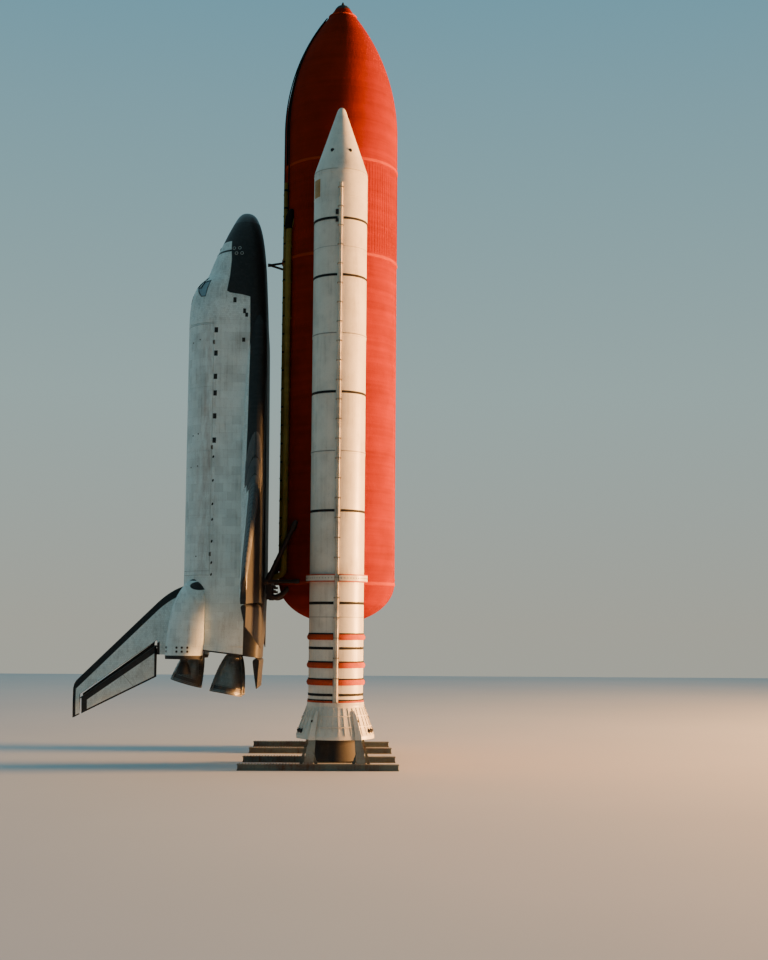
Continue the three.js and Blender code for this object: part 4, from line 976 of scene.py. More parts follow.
def base_lean(height):
    """How far forward the base leans at a height."""
    return 28 * (height - 275) / 239


def skin_point(row, angle, lift=0.0):
    """A place on the ring of a row, at an angle up from the right side's widest point."""
    station, half, bottom, top, widest, above, below = row
    c, s = cos(angle), sin(angle)
    power = 2 / (above if s > 0 else below)
    rise = top - widest if s > 0 else widest - bottom
    y = (half + lift) * copysign(abs(c) ** power, c)
    height = widest + (rise + lift) * copysign(abs(s) ** power, s)
    lean = base_lean(height) if station > 1500 else 0
    return orbiter_at(station - lean, y, height)


def body_ring(station, lift=0.0):
    row = row_at(BODY, station)
    return [skin_point(row, turn, lift) for turn in circle(BODY_SIDES, -pi / 2)]


def side_reach(station, height):
    """How far out the skin is at a height."""
    _, half, bottom, top, widest, above, below = row_at(BODY, station)
    rise, power = (top - widest, above) if height > widest else (widest - bottom, below)
    return half * max(0.0, 1 - (abs(height - widest) / rise) ** power) ** (1 / power)


# Tiles: a brick field whose bricks vary, with a mask and a depth for the gaps
tiles, given, result = effect(
    "Tiles", [("Vector", "Vector", None), ("Size", "Float", TILE)],
    [("Shade", "Float"), ("Gap", "Float"), ("Height", "Float")],
)
brick = node(
    tiles,
    "TexBrick",
    {
        "Vector": given["Vector"], "Color1": (0, 0, 0, 1), "Color2": (1, 1, 1, 1),
        "Mortar": (0.5, 0.5, 0.5, 1), "Scale": 1.0, "Mortar Size": 0.0016, "Mortar Smooth": 0.3,
        "Brick Width": given["Size"], "Row Height": given["Size"],
    },
    offset=0.5,
)
tiles.links.new(brick.outputs["Color"], result["Shade"])
tiles.links.new(brick.outputs["Fac"], result["Gap"])
tiles.links.new(rest(tiles, brick.outputs["Fac"]), result["Height"])

# Quilt: soft pillows between crossed rows of stitching
quilt, given, result = effect(
    "Quilt", [("Vector", "Vector", None), ("Pitch", "Float", 0.03)], [("Height", "Float")]
)
parts = split(quilt, given["Vector"])
waves = []
for part in (parts[0], parts[1]):
    turn = maths(quilt, "DIVIDE", times(quilt, part, pi), given["Pitch"])
    waves.append(maths(quilt, "ABSOLUTE", maths(quilt, "SINE", turn)))
pillow = maths(quilt, "POWER", times(quilt, waves[0], waves[1]), 0.4)
quilt.links.new(pillow, result["Height"])

# Station axes: where a point is on the orbiter, in inches
axes, given, result = effect(
    "Stations", [("Vector", "Vector", None)], [("Station", "Float"), ("Height", "Float"), ("Out", "Float")]
)
parts = split(axes, given["Vector"])
axes.links.new(maths(axes, "MULTIPLY_ADD", parts[2], -1 / INCH, ZERO_STATION), result["Station"])
axes.links.new(maths(axes, "MULTIPLY_ADD", parts[0], -1 / INCH, ZERO_HEIGHT), result["Height"])
axes.links.new(times(axes, parts[1], -1 / INCH), result["Out"])

WHITE_TILE, WHITE_SHADE = paint(230, 240, 238), paint(172, 180, 178)
BLACK_TILE, BLACK_SHADE = paint(10, 10, 11), paint(30, 30, 33)


def white_coat(tree, place, chart, blanket):
    """Colour and height of white tiles, or of quilted blankets, with the grime of many flights."""
    small = used(tree, tiles, {"Vector": chart, "Size": TILE * (4 if blanket else 1)})
    large = used(tree, tiles, {"Vector": mapped(tree, chart, place=(0.1, 0.17, 0)), "Size": 0.42})
    shade = maths(tree, "POWER", small["Shade"], 3.0)
    colour = blended(tree, times(tree, shade, 0.34), WHITE_TILE, WHITE_SHADE)
    patch = times(tree, maths(tree, "POWER", large["Shade"], 2.5), 0.13)
    colour = blended(tree, patch, colour, paint(164, 168, 170))
    worn = grimy(tree, place, colour, paint(124, 122, 116), 0.26, 0.36, 0.3)
    station = used(tree, axes, {"Vector": place})
    band = maths(tree, "ABSOLUTE", maths(tree, "SUBTRACT", station["Height"], 436.0))
    band = times(tree, ranged(tree, band, 42, 6), above(tree, station["Station"], 560.0, 40))
    aft = rest(tree, above(tree, station["Station"], 1300.0, 12))
    streaks = ranged(tree, cloudy(tree, mapped(tree, place, (5, 5, 0.9)), 1.0, 6, 0.7), 0.42, 0.66)
    stain = times(tree, times(tree, band, aft), streaks)
    stained = blended(tree, times(tree, stain, 0.42), worn["Color"], paint(136, 98, 84))
    colour = blended(tree, times(tree, small["Gap"], 0.5), stained, paint(92, 92, 92))
    if blanket:
        height = used(tree, quilt, {"Vector": chart, "Pitch": 0.0305})["Height"]
        height = maths(tree, "MULTIPLY_ADD", small["Height"], 1.2, height)
    else:
        height = maths(tree, "MULTIPLY_ADD", small["Shade"], 0.25, small["Height"])
    return colour, height


def black_coat(tree, place, chart):
    """Colour and height of black tiles, with replaced ones darker and worn ones greyer."""
    small = used(tree, tiles, {"Vector": chart, "Size": TILE})
    shade = maths(tree, "POWER", small["Shade"], 2.2)
    colour = blended(tree, shade, BLACK_TILE, BLACK_SHADE)
    worn = grimy(tree, place, colour, paint(48, 46, 46), 0.25, 0.25, 0.3)
    colour = blended(tree, times(tree, small["Gap"], 0.6), worn["Color"], paint(10, 10, 11))
    height = maths(tree, "MULTIPLY_ADD", small["Shade"], 0.25, small["Height"])
    return colour, height


def coat(name, black=None, blanket=False, only=None, flat=None):
    """A tiled finish: black where the mask says so, charted by the skin or by two flat axes."""
    made, tree, shader, coordinates = finish(name, roughness=0.7, Specular_IOR_Level=0.5)
    place = coordinates["Object"]
    chart = coordinates["UV"]
    if flat:
        parts = split(tree, place)
        chart = node(tree, "CombineXYZ", {0: parts[flat[0]], 1: parts[flat[1]]}).outputs[0]
    if only != "black":
        colour, height = white_coat(tree, place, chart, blanket)
        rough = 0.72
    if only != "white":
        dark, depth = black_coat(tree, place, chart)
        if only == "black":
            colour, height, rough = dark, depth, 0.6
        else:
            station = used(tree, axes, {"Vector": place})
            mask = black(tree, station, place)
            colour = blended(tree, mask, colour, dark)
            height = ranged(tree, mask, 0, 1, height, depth)
            rough = ranged(tree, mask, 0, 1, 0.72, 0.6)
    wired(tree, shader, {"Roughness": rough, "Base Color": colour})
    relief(tree, shader, height, 0.0022, 0.8)
    return made


def above(tree, value, limit, soft=0.6):
    """One where a value is over a limit."""
    if isinstance(limit, bpy.types.NodeSocket):
        value, limit = maths(tree, "SUBTRACT", value, limit), 0.0
    return ranged(tree, value, limit - soft, limit + soft)


# Height of the line between black and white down the fuselage's side, by station
EDGE = [(200, 530), (332.5, 530), (333.5, 376), (369, 376), (393, 374), (445, 378), (494, 386)]
EDGE += [(504, 319), (602, 317), (665, 318), (802, 311), (853, 308), (915, 319), (1083, 319)]
EDGE += [(1332, 322), (1600, 322)]


def below_edge(tree, station, place):
    curve = node(tree, "FloatCurve", {"Value": ranged(tree, station["Station"], 200, 1600)})
    points = curve.mapping.curves[0].points
    for i, (along, height) in enumerate(EDGE):
        at = ((along - 200) / 1400, height / 600)
        if i in (0, len(EDGE) - 1):
            points[0 if i == 0 else -1].location = at
        else:
            points.new(*at)
    for point in points:
        point.handle_type = "VECTOR"
    curve.mapping.update()
    edge = times(tree, curve.outputs[0], 600.0)
    off_seam = maths(tree, "ABSOLUTE", maths(tree, "SUBTRACT", station["Station"], 367.0))
    seam_line = ranged(tree, off_seam, 3.2, 2.6)
    lower = rest(tree, above(tree, station["Height"], edge))
    return maths(tree, "MAXIMUM", lower, seam_line)


carbon, tree, shader, place, _ = weathered(
    "nose_carbon", (26, 27, 30), (64, 62, 62), 0.5, 0.4, 0.4, roughness=0.42
)
relief(tree, shader, cloudy(tree, place, 45, 5, 0.7), 0.002)
fuselage_coat = coat("fuselage_tiles", below_edge)
fuselage_blankets = coat("fuselage_blankets", below_edge, blanket=True)
cap_rows = [236.45, 236.6, 237, 238, 239.2, 241, 244, 248, 252, 256, 260, 265, 270, 274.8]
shape = Form().rings([body_ring(s) for s in cap_rows])
piece(shape, "nose_cap_shell", [carbon], replaces="nose_cap")


def cut(mesh_object, tools, how="DIFFERENCE"):
    """Cuts a piece with closed tools and bakes the result into its mesh."""
    for tool in tools:
        knife = mesh_object.modifiers.new("cut", "BOOLEAN")
        knife.operation, knife.solver, knife.object = how, "MANIFOLD", tool
        knife.material_mode = "TRANSFER"
    graph = bpy.context.evaluated_depsgraph_get()
    made = bpy.data.meshes.new_from_object(mesh_object.evaluated_get(graph))
    mesh_object.modifiers.clear()
    mesh_object.data = made
    made.shade_smooth()
    made.set_sharp_from_angle(angle=radians(30))
    return mesh_object


def loose(form, name, materials=()):
    """A tool or a blank that isn't a piece."""
    return placed(name, form.mesh(name, materials))


def discarded(tools):
    for tool in tools:
        bpy.data.objects.remove(tool)


# Forward fuselage: the crew cabin's shell, with window openings, a round side hatch on the
# left, and the forward thrusters let into the tiles. Glass panes sit in raised dark frames.
CABIN_FRONT, CABIN_AFT, CABIN_WALL = 412, 571, 6
cabin_lining = painted("cabin_lining", (120, 124, 118), (70, 70, 66), 0.3, 0.2, 0.3)
glass, tree, shader, coordinates = finish("window_glass", roughness=0.06, Coat_Weight=0.6)
tint = ranged(tree, cloudy(tree, coordinates["Object"], 3, 3), 0.3, 0.7)
tint = blended(tree, tint, paint(46, 72, 84), paint(84, 114, 124))
wired(tree, shader, {"Base Color": tint})
window_frame = painted("window_frame", (34, 35, 37), (84, 84, 84), 0.3, 0.4, 0.4)
stations = [275, 280, 288, 300, 315, 330, 345, 360, 380, 400, 418, 430, 438, 444, 450, 456]
stations += [462, 468, 474, 480, 486, 493, 500, 508, 516, 525, 535, 545, 555, 565, 575.9]
shell = loose(
    Form().rings([body_ring(s) for s in stations]), "forward_blank", [fuselage_coat, cabin_lining]
)
cabin_stations = [CABIN_FRONT, *[s for s in stations if CABIN_FRONT < s < CABIN_AFT], CABIN_AFT]
cabin = loose(
    Form().rings([body_ring(s, -CABIN_WALL) for s in cabin_stations]), "cabin_tool", [cabin_lining]
)
HATCH_STATION, HATCH_HEIGHT, HATCH_RADIUS, HATCH_TAPER = 506, 372, 20, 0.15


def hatch_tool(radius, name):
    path = [orbiter_at(HATCH_STATION, y, HATCH_HEIGHT) for y in (-112, -88)]
    ends = [radius + 10 * HATCH_TAPER, radius - 14 * HATCH_TAPER]
    return loose(Form().tube(path, ends, 48), name, [cabin_lining])


# Window corners as station and angle on the ring, in order round the pane
WINDOWS = [
    [(441.5, 75.7), (441.5, 88.6), (465, 88.8), (465.5, 75.9)],
    [(444, 56.5), (442, 73.8), (466, 73.8), (471, 57.5)],
]


def angle_at(station, height):
    """The ring's angle at a height above its widest part."""
    row = row_at(BODY, station)
    return degrees(asin(min(1.0, (height - row[4]) / (row[3] - row[4]))))


WINDOWS.append([(s, angle_at(s, z)) for s, z in ((455, 434), (457, 458), (474, 471), (500, 461))])
WINDOWS[-1].append((501, angle_at(501, 448)))
WINDOWS.append([(492, 77), (492, 85), (510, 85), (510, 78)])


def window_rings(corners, side, lifts, grow=0.0):
    """Rings of points round a window at heights off the skin, grown from its middle."""
    middle = [sum(c[k] for c in corners) / len(corners) for k in (0, 1)]
    rings = []
    for lift in lifts:
        ring = []
        for a, b in zip(corners, corners[1:] + corners[:1]):
            for t in spaced(5, 0, 1)[:-1]:
                place = [a[k] + (b[k] - a[k]) * t for k in (0, 1)]
                away = (place[0] - middle[0], (place[1] - middle[1]) * 1.7)
                size = hypot(*away)
                place[0] += grow * away[0] / size
                place[1] += grow * away[1] / size / 1.7
                turn = radians(place[1])
                row = row_at(BODY, place[0])
                ring.append(skin_point(row, turn if side > 0 else pi - turn, lift))
        rings.append(ring)
    return rings


tool = Form()
panes, frames = Form(), Form()
for corners in WINDOWS:
    for side in (1, -1):
        tool.rings(window_rings(corners, side, (-9, 4)))
        panes.rings(window_rings(corners, side, (-2.2, -0.7), 0.6))
        inner = window_rings(corners, side, (-1.0, 0.55), -0.1)
        outer = window_rings(corners, side, (0.55, -1.0), 2.4)
        frames.rings(inner + outer, looped=True)
window_tool = loose(tool, "window_tool", [cabin_lining])
opening = hatch_tool(HATCH_RADIUS + 0.45, "hatch_opening")
plug = hatch_tool(HATCH_RADIUS, "hatch_plug")
wall = cut(shell, [cabin])
hatch = placed("hatch_blank", wall.data.copy())
finished(cut(hatch, [plug], "INTERSECT"), "hatch_panel", "side_hatch", "side_hatch")
finished(cut(wall, [opening, window_tool]), "forward_shell", replaces="forward_fuselage")
discarded([cabin, window_tool, opening, plug])
piece(panes, "cabin_windows", [glass], replaces="windshield_panes", smooth=60)
piece(frames, "window_frames", [window_frame], smooth=50)
fittings = Form()
fittings.tube(
    [orbiter_at(HATCH_STATION, y, HATCH_HEIGHT) for y in (-96, -102.6, -103.1)], [5.2, 5.2, 4.2], 24, 1
)
fittings.tube([orbiter_at(HATCH_STATION + s, -102.85, 350.9) for s in (-1.5, 1.5)], 1.5, 12)
fittings.box((HATCH_STATION - 1.4, -103.4, 351), (HATCH_STATION + 1.4, -101, 357), orbiter_at)
fittings.tube([orbiter_at(HATCH_STATION + s, -103.2, 384) for s in (-5, 5)], 0.6, 8)
piece(fittings, "hatch_fittings", [bolt_metal, glass], "side_hatch")

rim_paint = painted("thruster_rim", (170, 172, 168), (90, 86, 80), 0.4, 0.4, 0.5)


def port(form, place, out, radius, rim=1.5):
    """A thruster's mouth: a pale rim round a dark bell."""
    form.tube([place - out * 1.5 * INCH, place + out * 0.5 * INCH], radius + rim, 24)
    form.tube([place, place + out * 0.75 * INCH], radius, 24, 1)


def side_port(form, station, height, side, radius):
    reach = side_reach(station, height)
    slope = (side_reach(station, height + 2) - reach) / 2
    ahead = (side_reach(station + 2, height) - reach) / 2
    out = Vector((slope, -side, ahead)).normalized()
    port(form, orbiter_at(station, side * reach, height), out, radius)


thrusters = Form()
for side in (1, -1):
    for station, height in ((361, 352), (361, 368), (377, 345), (377, 361)):
        side_port(thrusters, station, height, side, 3.4)
    for station, y in ((352, 9), (352, 26), (368, 9)):
        row = row_at(BODY, station)
        turn = acos(y / row[1])
        place = skin_point(row, turn if side > 0 else pi - turn)
        out = (place - orbiter_at(station, 0, row[4])).normalized()
        port(thrusters, place, out, 3.2)
piece(thrusters, "forward_thrusters", [rim_paint, port_dark], smooth=50)
details = Form()


def side_plate(form, station, height, long, tall, side, lift=0.5, index=0, tilt=0.0, sides=None):
    """A thin plate on the side of the fuselage, square, or oval when it has many sides."""
    rings = []
    for rise in (-1.0, lift):
        ring = []
        if sides:
            corners = [(cos(t), sin(t)) for t in circle(sides)]
        else:
            corners = [(-1, -1), (0, -1), (1, -1), (1, 0), (1, 1), (0, 1), (-1, 1), (-1, 0)]
        for a, b in corners:
            s = a * long / 2 * cos(tilt) - b * tall / 2 * sin(tilt)
            z = b * tall / 2 * cos(tilt) + a * long / 2 * sin(tilt)
            reach = side_reach(station + s, height + z) + rise
            ring.append(orbiter_at(station + s, side * reach, height + z))
        rings.append(ring)
    form.rings(rings, index)


for side in (1, -1):
    side_plate(details, 517, 362, 15, 9, side)
    side_plate(details, 549, 334, 14, 8, side)
    side_plate(details, 560, 328, 12, 8, side)
piece(details, "cabin_side_plates", [port_dark])


# Mid fuselage: a trough of frames and skin round the payload bay, open above its sills. The
# bay is lined with white quilted cloth, its frames stand proud, and vents dot each side.
SILL, DOOR_AXIS = 420, 400
DOOR_HINGES = (640, 941, 1242)
bay_liner, tree, shader, place, _ = weathered(
    "bay_liner", (214, 212, 200), (150, 142, 128), roughness=0.85
)
parts = split(tree, place)
cloth = node(tree, "CombineXYZ", {0: parts[1], 1: parts[2]}).outputs[0]
relief(tree, shader, used(tree, quilt, {"Vector": cloth, "Pitch": 0.06})["Height"], 0.006)
stations = [576, 590, 608, 625, 640, *spaced(20, 660, 1300), 1306.9]
shell = loose(Form().rings([body_ring(s) for s in stations]), "mid_blank", [fuselage_blankets, bay_liner])
BAY_RADIUS = 93
arch = [pi + pi * k / 40 for k in range(41)]
profile = [(BAY_RADIUS * cos(t), DOOR_AXIS + BAY_RADIUS * sin(t)) for t in arch]
profile += [(BAY_RADIUS, SILL - 0.5), (140, SILL - 0.5), (140, 560), (-140, 560)]
profile += [(-140, SILL - 0.5), (-BAY_RADIUS, SILL - 0.5)]
bay_tool = loose(
    Form().rings([[orbiter_at(s, y, z) for y, z in profile] for s in (582, 1301)]), "bay_tool",
    [bay_liner],
)
finished(cut(shell, [bay_tool]), "mid_shell", replaces="mid_fuselage")
discarded([bay_tool])
lugs = Form()
for station in DOOR_HINGES:
    for side in (1, -1):
        ends = (station - 6, side * 99.5, SILL - 4), (station + 6, side * 104.2, SILL - 0.6)
        lugs.box(*ends, orbiter_at)
piece(lugs, "door_hinge_lugs", [bolt_metal])
frame_arc = Form()
arc = spaced(36, 188, 352)
rings = []
for t in arc:
    c, s = cos(radians(t)), sin(radians(t))
    corners = [(93.4, -1.4), (89.6, -1.4), (89.6, 1.4), (93.4, 1.4)]
    rings.append([orbiter_at(642 + along, r * c, DOOR_AXIS + r * s) for r, along in corners])
frame_arc.rings(rings)
repeated(
    frame_arc, "bay_frames", bolt_metal, "engine_metal", 12, centre=orbiter_at(642, 0, DOOR_AXIS),
    step=(0, 0, -54.5 * INCH),
)
rails = Form()
for side in (1, -1):
    rails.box((584, side * 88.5, 409), (1299, side * 93.5, 416), orbiter_at)
rails.box((584, -5, 307.2), (1299, 5, 311), orbiter_at)
piece(rails, "bay_longerons", [bolt_metal])
vents = Form()
for side in (1, -1):
    for station in (605, 672, 739, 786.5, 852, 921):
        side_plate(vents, station, 413, 15, 10, side, 0.35)
        side_plate(vents, station, 413, 11.5, 6.5, side, 0.6)
    for station in (968, 1035, 1101.5, 1145, 1206, 1266, 1299):
        side_plate(vents, station, 414.5, 8.5, 5, side, 0.4, 0, 0.3, 16)
    side_plate(vents, 632.5, 335, 12, 9, side, 0.4)
piece(vents, "side_vents", [port_dark])


# Payload bay doors: curved honeycomb panels in four lengths, quilted outside, with silvery
# radiator panels inside. Each turns on three knuckles at the sill.
door_blankets = coat("door_blankets", only="white", blanket=True)
radiator, tree, shader, place, _ = weathered(
    "radiator_silver", (206, 210, 214), (150, 150, 150), roughness=0.22, metallic=0.9
)
parts = split(tree, place)
tubes = maths(tree, "ABSOLUTE", maths(tree, "SINE", times(tree, parts[1], 60.0)))
relief(tree, shader, tubes, 0.002, 0.5)
door_seal = painted("door_seal", (66, 64, 62), (110, 104, 98), 0.4, 0.5, 0.4)
DOOR_JOINTS = [582.6, 767, 950, 1132, 1300.4]
door_edge = asin((SILL - DOOR_AXIS) / 100)


def door_point(station, turn, side, depth):
    y, z = (105 - depth) * cos(turn), DOOR_AXIS + (100 - depth) * sin(turn)
    return orbiter_at(station, side * max(y, 0.28), max(z, SILL + 0.01))


def door_ring(station, turns, side, outer, inner):
    """A ring round a door's section, between two depths from its outer skin."""
    outside = [door_point(station, t, side, outer) for t in turns]
    return outside + [door_point(station, t, side, inner) for t in reversed(turns)]


SIDES = ((1, "right"), (-1, "left"))
for side, where in SIDES:
    shape = Form()
    turns = spaced(36, door_edge, pi / 2)
    for start, end in zip(DOOR_JOINTS, DOOR_JOINTS[1:]):
        rows = [(start + 0.12, 0.5), (start + 0.7, 0), *[(s, 0) for s in spaced(6, start + 8, end - 8)]]
        rows += [(end - 0.7, 0), (end - 0.12, 0.5)]
        rings = [door_ring(station, turns, side, dip, 5) for station, dip in rows]
        shape.rings(rings, [0] * 36 + [1] * 38)
    for station in DOOR_HINGES:
        ends = [orbiter_at(station + s, side * 103.6, 420.9) for s in (-5, 5)]
        shape.tube(ends, 1.36, 20, 1)
    body = f"payload_bay_door_{where}"
    piece(shape, f"bay_door_{where}", [door_blankets, door_seal], body, body, 40)
    panels = Form()
    for start, end in ((588, 764), (770, 947), (953, 1129), (1135, 1296)):
        turns = spaced(24, door_edge + 0.08, pi / 2 - 0.03)
        panels.rings([door_ring(s, turns, side, 4.9, 6.3) for s in spaced(4, start, end)])
    piece(panels, f"door_radiators_{where}", [radiator], body)
    marks = Form()
    turns = spaced(36, door_edge, pi / 2)
    for joint in (587, 1289):
        corners = [(joint - 0.35, -0.14), (joint + 0.35, -0.14), (joint + 0.35, 1), (joint - 0.35, 1)]
        marks.rings([[door_point(s, t, side, depth) for s, depth in corners] for t in turns])
    fasteners = [(630, 460), (636, 481), (901, 460), (905, 476), (993, 460), (995, 480.5)]
    for station, height in [*fasteners, (1248, 459.5)]:
        turn = asin((height - DOOR_AXIS) / 100)
        place = door_point(station, turn, side, 0)
        out = Vector((-sin(turn), -side * cos(turn), 0))
        marks.tube([place - out * 0.02, place + out * 0.5 * INCH], 2.2, 12)
    piece(marks, f"door_fasteners_{where}", [door_seal], body)


# Aft fuselage: the engine bay's shell, open behind for the three engines, closed by the base
# heat shield with a blanketed dome round each engine and four brackets for the body flap.
aft_coat = coat("aft_tiles", below_edge, blanket=True)
well_dark = painted("engine_well", (40, 40, 40), (80, 76, 70), 0.5, 0.3, 0.4, 0.8)
dome_cloth = painted("dome_blanket", (150, 148, 142), (88, 82, 76), 0.6, 0.4, 0.5, 0.85, 0.4)
base_tiles = coat("base_tiles", only="black", flat=(0, 1))
ENGINES = [
    # name, gimbal station, y, height, pitch up, turn out, hole y, hole height, hole radius, ball
    ("upper", 1445, 0, 443, 16, 0, 0, 461, 47.5, 62),
    ("right", 1468, 53, 342.6, 10, 3.5, 56.4, 353, 38, 52),
    ("left", 1468, -53, 342.6, 10, -3.5, -56.4, 353, 38, 52),
]
stations = [1307, *spaced(14, 1320, 1500), 1507, 1516, 1525.9]
shell = loose(Form().rings([body_ring(s) for s in stations]), "aft_blank", [aft_coat, well_dark])
tool = Form()
for half, low, high, rise in ((42, 413, 498.5, 9), (96, 303, 396, 0)):
    rings = []
    for station, top in ((1438, high), (1560, high + rise)):
        corners = ((half, low), (half, top), (-half, top), (-half, low))
        rings.append([orbiter_at(station, y, z) for y, z in corners])
    tool.rings(rings)
wells = loose(tool, "well_tool", [well_dark])
finished(cut(shell, [wells]), "aft_shell", replaces="aft_fuselage")


def base_point(y, height, aft=0.0):
    """A place on the leaning base, or behind it."""
    return orbiter_at(BASE + aft - base_lean(height), y, height)


plate = loose(
    Form().rings([[p + Vector((0, 0, -aft * INCH)) for p in body_ring(BASE)] for aft in (0.03, 4)]),
    "base_blank", [base_tiles],
)
tool = Form()
for *_, y, height, radius, ball in ENGINES:
    tool.tube([orbiter_at(s, y, height) for s in (1460, 1560)], radius, 64)
holes = loose(tool, "hole_tool", [well_dark])
finished(cut(plate, [holes]), "base_plate", replaces="base_heat_shield")
discarded([wells, holes])
brackets = Form()
for y in (-84, -28, 28, 84):
    brackets.box((1527, y - 4, 281), (1531.4, y + 4, 289), orbiter_at)
    brackets.box((1520, y - 6, 277), (1528.6, y + 6, 293), orbiter_at)
piece(brackets, "flap_brackets", [bolt_metal])


def engine_axes(engine):
    """The engine's own frame: +Z runs down the bell from the gimbal."""
    _, station, y, height, pitch, out = engine[:6]
    tilt, turn = radians(pitch), radians(out)
    along = Vector((cos(tilt) * cos(turn), sin(turn), sin(tilt))).normalized()
    across = Vector((0, 1, 0)).cross(along).normalized()
    other = along.cross(across)

    def at(x, q, s):
        place = Vector((station, y, height)) + across * x + other * q + along * s
        return orbiter_at(*place)

    return at


domes = Form()
for engine in ENGINES:
    at = engine_axes(engine)
    hole_y, hole_height, radius, ball = engine[6:]
    mouth = 33.5 if engine[0] == "upper" else 30.0
    depth = sqrt((ball + 1.2) ** 2 - mouth**2) + 1.2
    rings = []
    for skin, thick in ((0, 0.0), (1, 1.2)):
        layer = []
        for t in spaced(8, 0, 1):
            ring = []
            for turn in circle(64):
                reach = radius + 0.8 - 1.2 * skin
                a, b = cos(turn) * reach, sin(turn) * reach
                start = base_point(hole_y + b, hole_height + a, 4.4 - 2 * skin)
                end = at(cos(turn) * mouth, sin(turn) * mouth, depth - thick)
                bulge = Vector((0, 0, -1)) * sin(pi * t) * 2.5 * INCH
                ring.append(start.lerp(end, t) + bulge)
            layer.append(ring)
        rings += layer if skin == 0 else layer[::-1]
    domes.rings(rings, looped=True)
piece(domes, "engine_domes", [dome_cloth], smooth=60)


# Main engines: a powerhead of pumps and ducts over a cooled bell of brazed tubes, with hoops
# round it. Each hangs on a ball gimbal in the engine bay and swings with its own body.
engine_metal, tree, shader, place, worn = weathered(
    "bell_metal", (146, 150, 146), (70, 61, 53), 0.7, 0.8, 0.3, metallic=0.55
)
heat = ranged(tree, cloudy(tree, place, 2.4, 3), 0.4, 0.7, 0, 0.5)
tint = blended(tree, heat, worn["Color"], paint(110, 92, 84))
wired(tree, shader, {"Base Color": tint, "Roughness": ranged(tree, worn["Mask"], 0, 1, 0.3, 0.62)})
relief(tree, shader, cloudy(tree, mapped(tree, place, (90, 90, 6)), 1.0, 2), 0.0015)
inner_metal = painted("bell_inside", (86, 80, 74), (40, 36, 34), 0.7, 0.9, 0.3, 0.5)
lip_metal = painted("bell_lip", (58, 56, 54), (96, 84, 72), 0.7, 0.8, 0.4, 0.45)
pump_metal = painted("powerhead_metal", (112, 108, 102), (56, 48, 42), 0.6, 0.4, 0.5, 0.5)
BELL = [
    # along the engine, outer radius, wall
    [45, 9, 2],
    [51, 12.6, 2],
    [58, 18.3, 2],
    [66, 22.9, 2],
    [76, 26.8, 2],
    [92, 32, 2],
    [110, 36.6, 2],
    [138, 42, 2],
    [166, 46, 2],
]
for engine in ENGINES:
    name = engine[0]
    at = engine_axes(engine)
    ball_rows = [(0.001 - 5.5, 0)] + [(-5.5 * cos(t), 5.5 * sin(t)) for t in spaced(14, 0.15, pi - 0.15)]
    piece(
        Form().turned([*ball_rows, (5.5, 0)], at, 32), f"gimbal_ball_{name}", [pump_metal],
        f"engine_gimbal_{name}", f"engine_gimbal_{name}",
    )
    mount = Form()
    depth = (engine[1] - 1438) / cos(radians(engine[4])) + 5
    mount.tube([at(0, 0, -s) for s in (depth, depth * 0.4 + 4, 6.2)], [8, 5, 4.2], 24)
    piece(mount, f"engine_mount_{name}", [pump_metal])
    shape = Form()
    rows = [row_at(BELL, s) for s in spaced(44, 45, 166)]
    outside = [(s, r) for s, r, _ in rows if s < 146]
    band = [(s, r) for s, r, _ in rows if s >= 143]
    inside = [(s, r - w) for s, r, w in reversed(rows)]
    lip = [(166.0, 45.6), (166.0, 44.2)]
    for part, index in (([(45, 0), *outside], 0), ([*band, *lip, *inside[1:], (47, 0)], 3)):
        shape.turned(part, at, 96, index, ends=False)
    for s in (52, 64, 78, 92, 106, 120, 133, 146, 158):
        reach = row_at(BELL, s)[1]
        hoop = [(s - 1.0, reach - 1), (s - 0.8, reach + 0.9), (s + 0.8, reach + 1.0), (s + 1.0, reach - 1)]
        shape.turned(hoop, at, 96, looped=True)
    manifold = [(162 + 1.9 * cos(t), 45.0 + 1.1 * sin(t)) for t in circle(10)]
    shape.turned(manifold, at, 96, looped=True)
    for turn in (20, 140, 260):
        # Coolant lines from the powerhead down to the manifold at the lip
        path = []
        for s in (38, 44, 52, 62, 76, 92, 108, 124, 140, 152, 160):
            reach = row_at(BELL, max(s, 45))[1] + (2.6 if s > 44 else 2.4)
            a = radians(turn)
            path.append(at(reach * cos(a), reach * sin(a), s))
        shape.tube(path, 1.5, 12, 2)
    shape.tube([at(0, 0, s) for s in (5.6, 9, 14, 30, 38, 45)], [11, 12, 13.6, 13.8, 9.4, 8.8], 40, 2)
    pumps = [(40, 7.5, 10, 40, 5.6), (130, 7.5, 8, 36, 5.2), (220, 8, 12, 40, 5.8)]
    for turn, reach, low, high, radius in [*pumps, (310, 8, 9, 38, 5.0)]:
        a = radians(turn)
        x, y = reach * cos(a), reach * sin(a)
        spans = [(0, 0.5), (0.1, 1), (0.4, 1), (0.5, 0.8), (0.6, 1), (0.9, 0.9), (1, 0.4)]
        path = [at(x, y, low + (high - low) * t) for t, _ in spans]
        shape.tube(path, [radius * r for _, r in spans], 20, 2)
    collar = [(47 + 2.4 * cos(t), 11.4 + 2.2 * sin(t)) for t in circle(12)]
    shape.turned(collar, at, 64, looped=True)
    node_name = f"main_engine_{name}"
    piece(
        shape, f"engine_bell_{name}", [engine_metal, inner_metal, pump_metal, lip_metal],
        node_name, node_name, 40,
    )
    if name == "upper":
        ball, reaches = engine[9], spaced(5, 22.5, 31.4)
        rows = [(sqrt(ball**2 - reach**2), reach) for reach in reaches]
        rows += [(sqrt((ball - 1) ** 2 - reach**2), reach) for reach in reaches[::-1]]
        piece(
            Form().turned(rows, at, 64, looped=True), f"engine_eyelid_{name}", [dome_cloth],
            node_name, smooth=60,
        )


